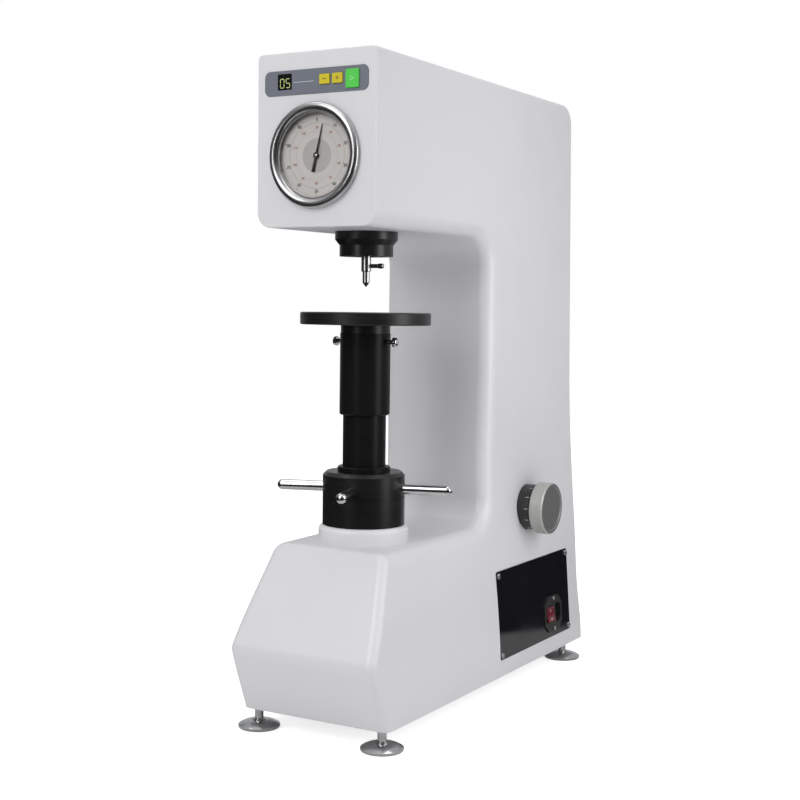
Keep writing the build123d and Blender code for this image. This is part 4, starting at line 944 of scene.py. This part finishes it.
def set_heads(node, outward, body, name):
    """Stands a detailed screw head for every screw of a CAD group."""
    centres, out = screw_places(node, outward)
    across = out.cross(Vector((0, 1, 0)) if abs(out.y) < 0.9 else Vector((1, 0, 0))).normalized()
    up = out.cross(across)
    heads = []
    for k, (centre, size) in enumerate(centres):
        turn = Matrix((across, up, out)).transposed().to_4x4()
        spin = Matrix.Rotation(math.radians(FIRST_TURN + NEXT_TURN * k), 4, "Z")
        width = Matrix.Diagonal((size, size, 1, 1))
        base = Matrix.Translation(centre - out * HEAD_H * MM)
        heads.append(copy_of(head, f"{name}_{k}", base @ turn @ (spin @ width)))
    group = dress(joined(heads, name), screw_zinc, body)
    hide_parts(node)
    print(node, "screws:", len(centres), "radius mm:", round(HEAD_R * centres[0][1], 2))


FLANK_LEAN = math.radians(4.2)  # both walls stand further out at the foot
REAR_LEAN = math.atan2(25.0, 729.5)
side_out = (math.cos(FLANK_LEAN), 0, math.sin(FLANK_LEAN))
rear_out = (0, math.cos(REAR_LEAN), math.sin(REAR_LEAN))
set_heads("top_cover_screws", (0, 0, 1), "machine", "top_cover_heads")
set_heads("rear_cover_screws", rear_out, "machine", "rear_cover_heads")
set_heads("power_plate_screws", side_out, "machine", "power_plate_heads")
set_heads("inlet_screws", side_out, "machine", "inlet_heads")
bpy.data.objects.remove(head)

# %% [markdown]
# The load dial's rim carries an index line and short divisions, so that the knob's
# setting can be read. They are thin bars of ink stood on the curved side of the dial,
# one copy every thirty degrees, the first one long.

# %% Load dial marks
rim_low, rim_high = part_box("load_dial")
rim_r = (rim_high.z - rim_low.z) / 2
INDEX_MARK = (1.2, 13.0)  # width and length
RIM_MARK = (0.6, 5.0)
FIRST_MARK = -62  # degrees from upright
MARK_STEP = 30
FACE_TO_MARK = 1.2
marks = []
for k in range(360 // MARK_STEP):
    width, length = INDEX_MARK if k == 0 else RIM_MARK
    mark = ink_bar(f"rim_mark_{k}", length, width)
    spin = Matrix.Rotation(math.radians(FIRST_MARK + MARK_STEP * k), 4, "X")
    out = Matrix.Translation((0, 0, rim_r - 0.00001))
    x = rim_high.x - (length / 2 + FACE_TO_MARK) * MM
    axis = Vector((x, (rim_low.y + rim_high.y) / 2, (rim_low.z + rim_high.z) / 2))
    mark.data.transform(Matrix.Translation(axis) @ spin @ out)
    marks.append(mark)
dress(joined(marks, "load_dial_marks"), ink_white, "machine")

# %% [markdown]
# The rocker carries the usual I and O, the signs for on and off. The bar and the ring
# are drawn flat on the ground. A ray from outside finds the face of the rocker under
# each sign, and the sign is laid on it at that spot, square to the face.

# %% Rocker marks
ON_SIGN = (0.9, 4.4)  # width and height of the bar
OFF_SIGN = (2.3, 0.6)  # radius and stroke of the ring
SIGN_UP = 5.0  # from the rocker's middle up or down to a sign
RAY_START = 0.02  # metres outside the rocker
rocker = nodes["power_rocker"]
rocker_low, rocker_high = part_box("power_rocker")
middle = (rocker_low + rocker_high) / 2
for name, mark, up in (("rocker_on", ink_bar("rocker_on", *ON_SIGN), SIGN_UP),
                       ("rocker_off", ink_ring("rocker_off", *OFF_SIGN), -SIGN_UP)):
    start = Vector((rocker_high.x + RAY_START, middle.y, middle.z + up * MM))
    found, spot, facing, _ = rocker.ray_cast(start, Vector((-1, 0, 0)))
    stand = facing.to_track_quat("Z", "Y").to_matrix().to_4x4()
    mark.data.transform(Matrix.Translation(spot) @ stand)
    dress(mark, ink_white, "rocker")
    print(name, "found face:", found, "facing", [round(c, 2) for c in facing])

# %% [markdown]
# The room is a plain studio. The camera sees a white surround. Mirrors and glosses see
# the room as it would be built: a white backdrop behind the machine and a pale ceiling,
# and the dark room round the camera, which keeps black parts black and gives chrome its
# dark bands. Every other ray meets an even, soft grey that only fills the shadows.

# %% World


def ease(tree, start, end):
    """Node that rises smoothly from 0 at the start to 1 at the end."""
    return add_node(tree, "ShaderNodeMapRange", interpolation_type="SMOOTHSTEP",
                    values={"From Min": start, "From Max": end})


world = bpy.data.worlds.new("studio")
bpy.context.scene.world = world
world.use_nodes = True
sky = world.node_tree
sky.nodes.clear()
rays = add_node(sky, "ShaderNodeLightPath")
ray_way = add_node(sky, "ShaderNodeTexCoord")
ways = add_node(sky, "ShaderNodeSeparateXYZ")
backdrop = ease(sky, 0.0, 0.7)
ceiling = ease(sky, 0.25, 0.8)
ground = ease(sky, -0.10, -0.35)
pale = add_node(sky, "ShaderNodeMath", operation="MAXIMUM")
pale_all = add_node(sky, "ShaderNodeMath", operation="MAXIMUM")
room = add_node(sky, "ShaderNodeMix", data_type="RGBA",
                values={"A": (0.030, 0.030, 0.034, 1), "B": (0.55, 0.56, 0.58, 1)})
mirror_room = add_node(sky, "ShaderNodeBackground")
fill = add_node(sky, "ShaderNodeBackground",
                values={"Color": (0.97, 0.98, 1.0, 1), "Strength": 0.42})
white = add_node(sky, "ShaderNodeBackground", values={"Color": grey(1.0), "Strength": 1.0})
mirrored = add_node(sky, "ShaderNodeMath", operation="MAXIMUM")
first = add_node(sky, "ShaderNodeMixShader")
last = add_node(sky, "ShaderNodeMixShader")
out = add_node(sky, "ShaderNodeOutputWorld")
wire(sky,
     (ray_way, "Generated", ways, 0),
     (ways, "Y", backdrop, "Value"),
     (ways, "Z", ceiling, "Value"),
     (ways, "Z", ground, "Value"),
     (backdrop, "Result", pale, 0),
     (ceiling, "Result", pale, 1),
     (pale, 0, pale_all, 0),
     (ground, "Result", pale_all, 1),
     (pale_all, 0, room, "Factor"),
     (room, "Result", mirror_room, "Color"),
     (rays, "Is Glossy Ray", mirrored, 0),
     (rays, "Is Transmission Ray", mirrored, 1),
     (mirrored, 0, first, "Fac"),
     (fill, 0, first, 1),
     (mirror_room, 0, first, 2),
     (rays, "Is Camera Ray", last, "Fac"),
     (first, 0, last, 1),
     (white, 0, last, 2),
     (last, 0, out, "Surface"))

# %% [markdown]
# The floor is a wide sheet of white card. It glows a little towards the camera, so that
# it meets the white surround without an edge, and being a plain diffuse surface beneath
# that glow it still shows the soft shadow under the machine. For mirrors and glosses its
# colour is a painted pool of light round the machine that soon falls off, as a lit bench in a dark
# room.

# %% Floor
FLOOR_SIZE = 8
FLOOR_Z = -0.0005
PAINTED_POOL_R = (0.50, 0.57)  # the pool of light is even up to the first, gone at the second
clear_selection()
bpy.ops.mesh.primitive_plane_add(size=FLOOR_SIZE, location=(0, 0, FLOOR_Z))
floor = settle(named("studio_floor"))
floor_mat = bpy.data.materials.new("studio floor")
floor_mat.use_nodes = True
tree = floor_mat.node_tree
shader = tree.nodes["Principled BSDF"]
shader.inputs["Roughness"].default_value = 0.9
shader.inputs["Specular IOR Level"].default_value = 0.0
shader.inputs["Emission Color"].default_value = grey(1.0)
rays = add_node(tree, "ShaderNodeLightPath")
glow = add_node(tree, "ShaderNodeMath", operation="MULTIPLY", values={1: 0.70})
spot = add_node(tree, "ShaderNodeTexCoord")
reach = add_node(tree, "ShaderNodeVectorMath", operation="LENGTH")
near = ease(tree, *PAINTED_POOL_R)
# Painted light: for glossy rays the floor colour is pale near the machine and near black beyond, a
# painted pool of light.
painted_light_pool = add_node(tree, "ShaderNodeMix", data_type="RGBA", values={"A": grey(0.60), "B": grey(0.02)})
sheet = add_node(tree, "ShaderNodeMix", data_type="RGBA", values={"A": grey(0.86)})
wire(tree,
     (spot, "Object", reach, 0),
     (reach, "Value", near, "Value"),
     (near, "Result", painted_light_pool, "Factor"),
     (painted_light_pool, "Result", sheet, "B"),
     (rays, "Is Glossy Ray", sheet, "Factor"),
     (sheet, "Result", shader, "Base Color"),
     (rays, "Is Camera Ray", glow, 0),
     (glow, 0, shader, "Emission Strength"))
floor.data.materials.append(floor_mat)
print("floor at z =", FLOOR_Z)

# %% [markdown]
# Four soft boxes light the machine: a large one in front on the left, a narrow one
# below it that draws a soft line down round black pieces, a small one close on the
# right for the flank, and one overhead. Large and close means soft shadows; their
# powers keep a painted surface near the colour that was written for it. The flank's lamp
# stands behind the plane of the dial, so that the glass never mirrors it.

# %% Soft boxes


def soft_box(name, place, aim, width, height, power):
    """Rectangular lamp at a place, turned to face a point."""
    lamp = bpy.data.lights.new(name, "AREA")
    lamp.shape = "RECTANGLE"
    lamp.size = width
    lamp.size_y = height
    lamp.energy = power
    stand = bpy.data.objects.new(name, lamp)
    bpy.context.scene.collection.objects.link(stand)
    stand.location = place
    stand.rotation_euler = (Vector(aim) - Vector(place)).to_track_quat("-Z", "Y").to_euler()


soft_box("front_box", (-0.25, -2.2, 1.95), (0, -0.05, 0.4), 1.7, 1.5, 25)
soft_box("low_box", (-0.30, -2.1, 0.75), (0, -0.15, 0.5), 0.4, 0.7, 3.5)
soft_box("flank_box", (0.82, -0.07, 0.58), (0, -0.04, 0.42), 0.32, 0.75, 3.1)
soft_box("top_box", (-0.2, 0.1, 2.4), (0, 0.05, 0.4), 1.8, 1.8, 18)

# %% [markdown]
# The camera stands to the right of the machine, at the height of its throat, and looks
# slightly down. Its axes are worked out from yaw, pitch and a trace of roll.

# %% Camera
YAW, PITCH, ROLL = (math.radians(a) for a in (29.89, 3.82, 0.73))
EYE = at(848.29, -1394.38, 481.74)
SENSOR = 36.0  # width of the film and focal length, in millimetres
FOCAL = 63.94
ahead = Vector((-math.sin(YAW) * math.cos(PITCH), math.cos(YAW) * math.cos(PITCH),
                -math.sin(PITCH)))
right = Vector((math.cos(YAW), math.sin(YAW), 0))
above = right.cross(ahead)
rolled_right = right * math.cos(ROLL) + above * math.sin(ROLL)
rolled_up = above * math.cos(ROLL) - right * math.sin(ROLL)
lens = bpy.data.cameras.new("view")
lens.sensor_width = SENSOR
lens.lens = FOCAL
camera = bpy.data.objects.new("view", lens)
bpy.context.scene.collection.objects.link(camera)
turn = Matrix((rolled_right, rolled_up, -ahead)).transposed().to_4x4()
camera.matrix_world = Matrix.Translation(EYE) @ turn
bpy.context.scene.camera = camera
bpy.context.scene.view_settings.view_transform = "Standard"
print("camera at", [round(c, 4) for c in camera.location])
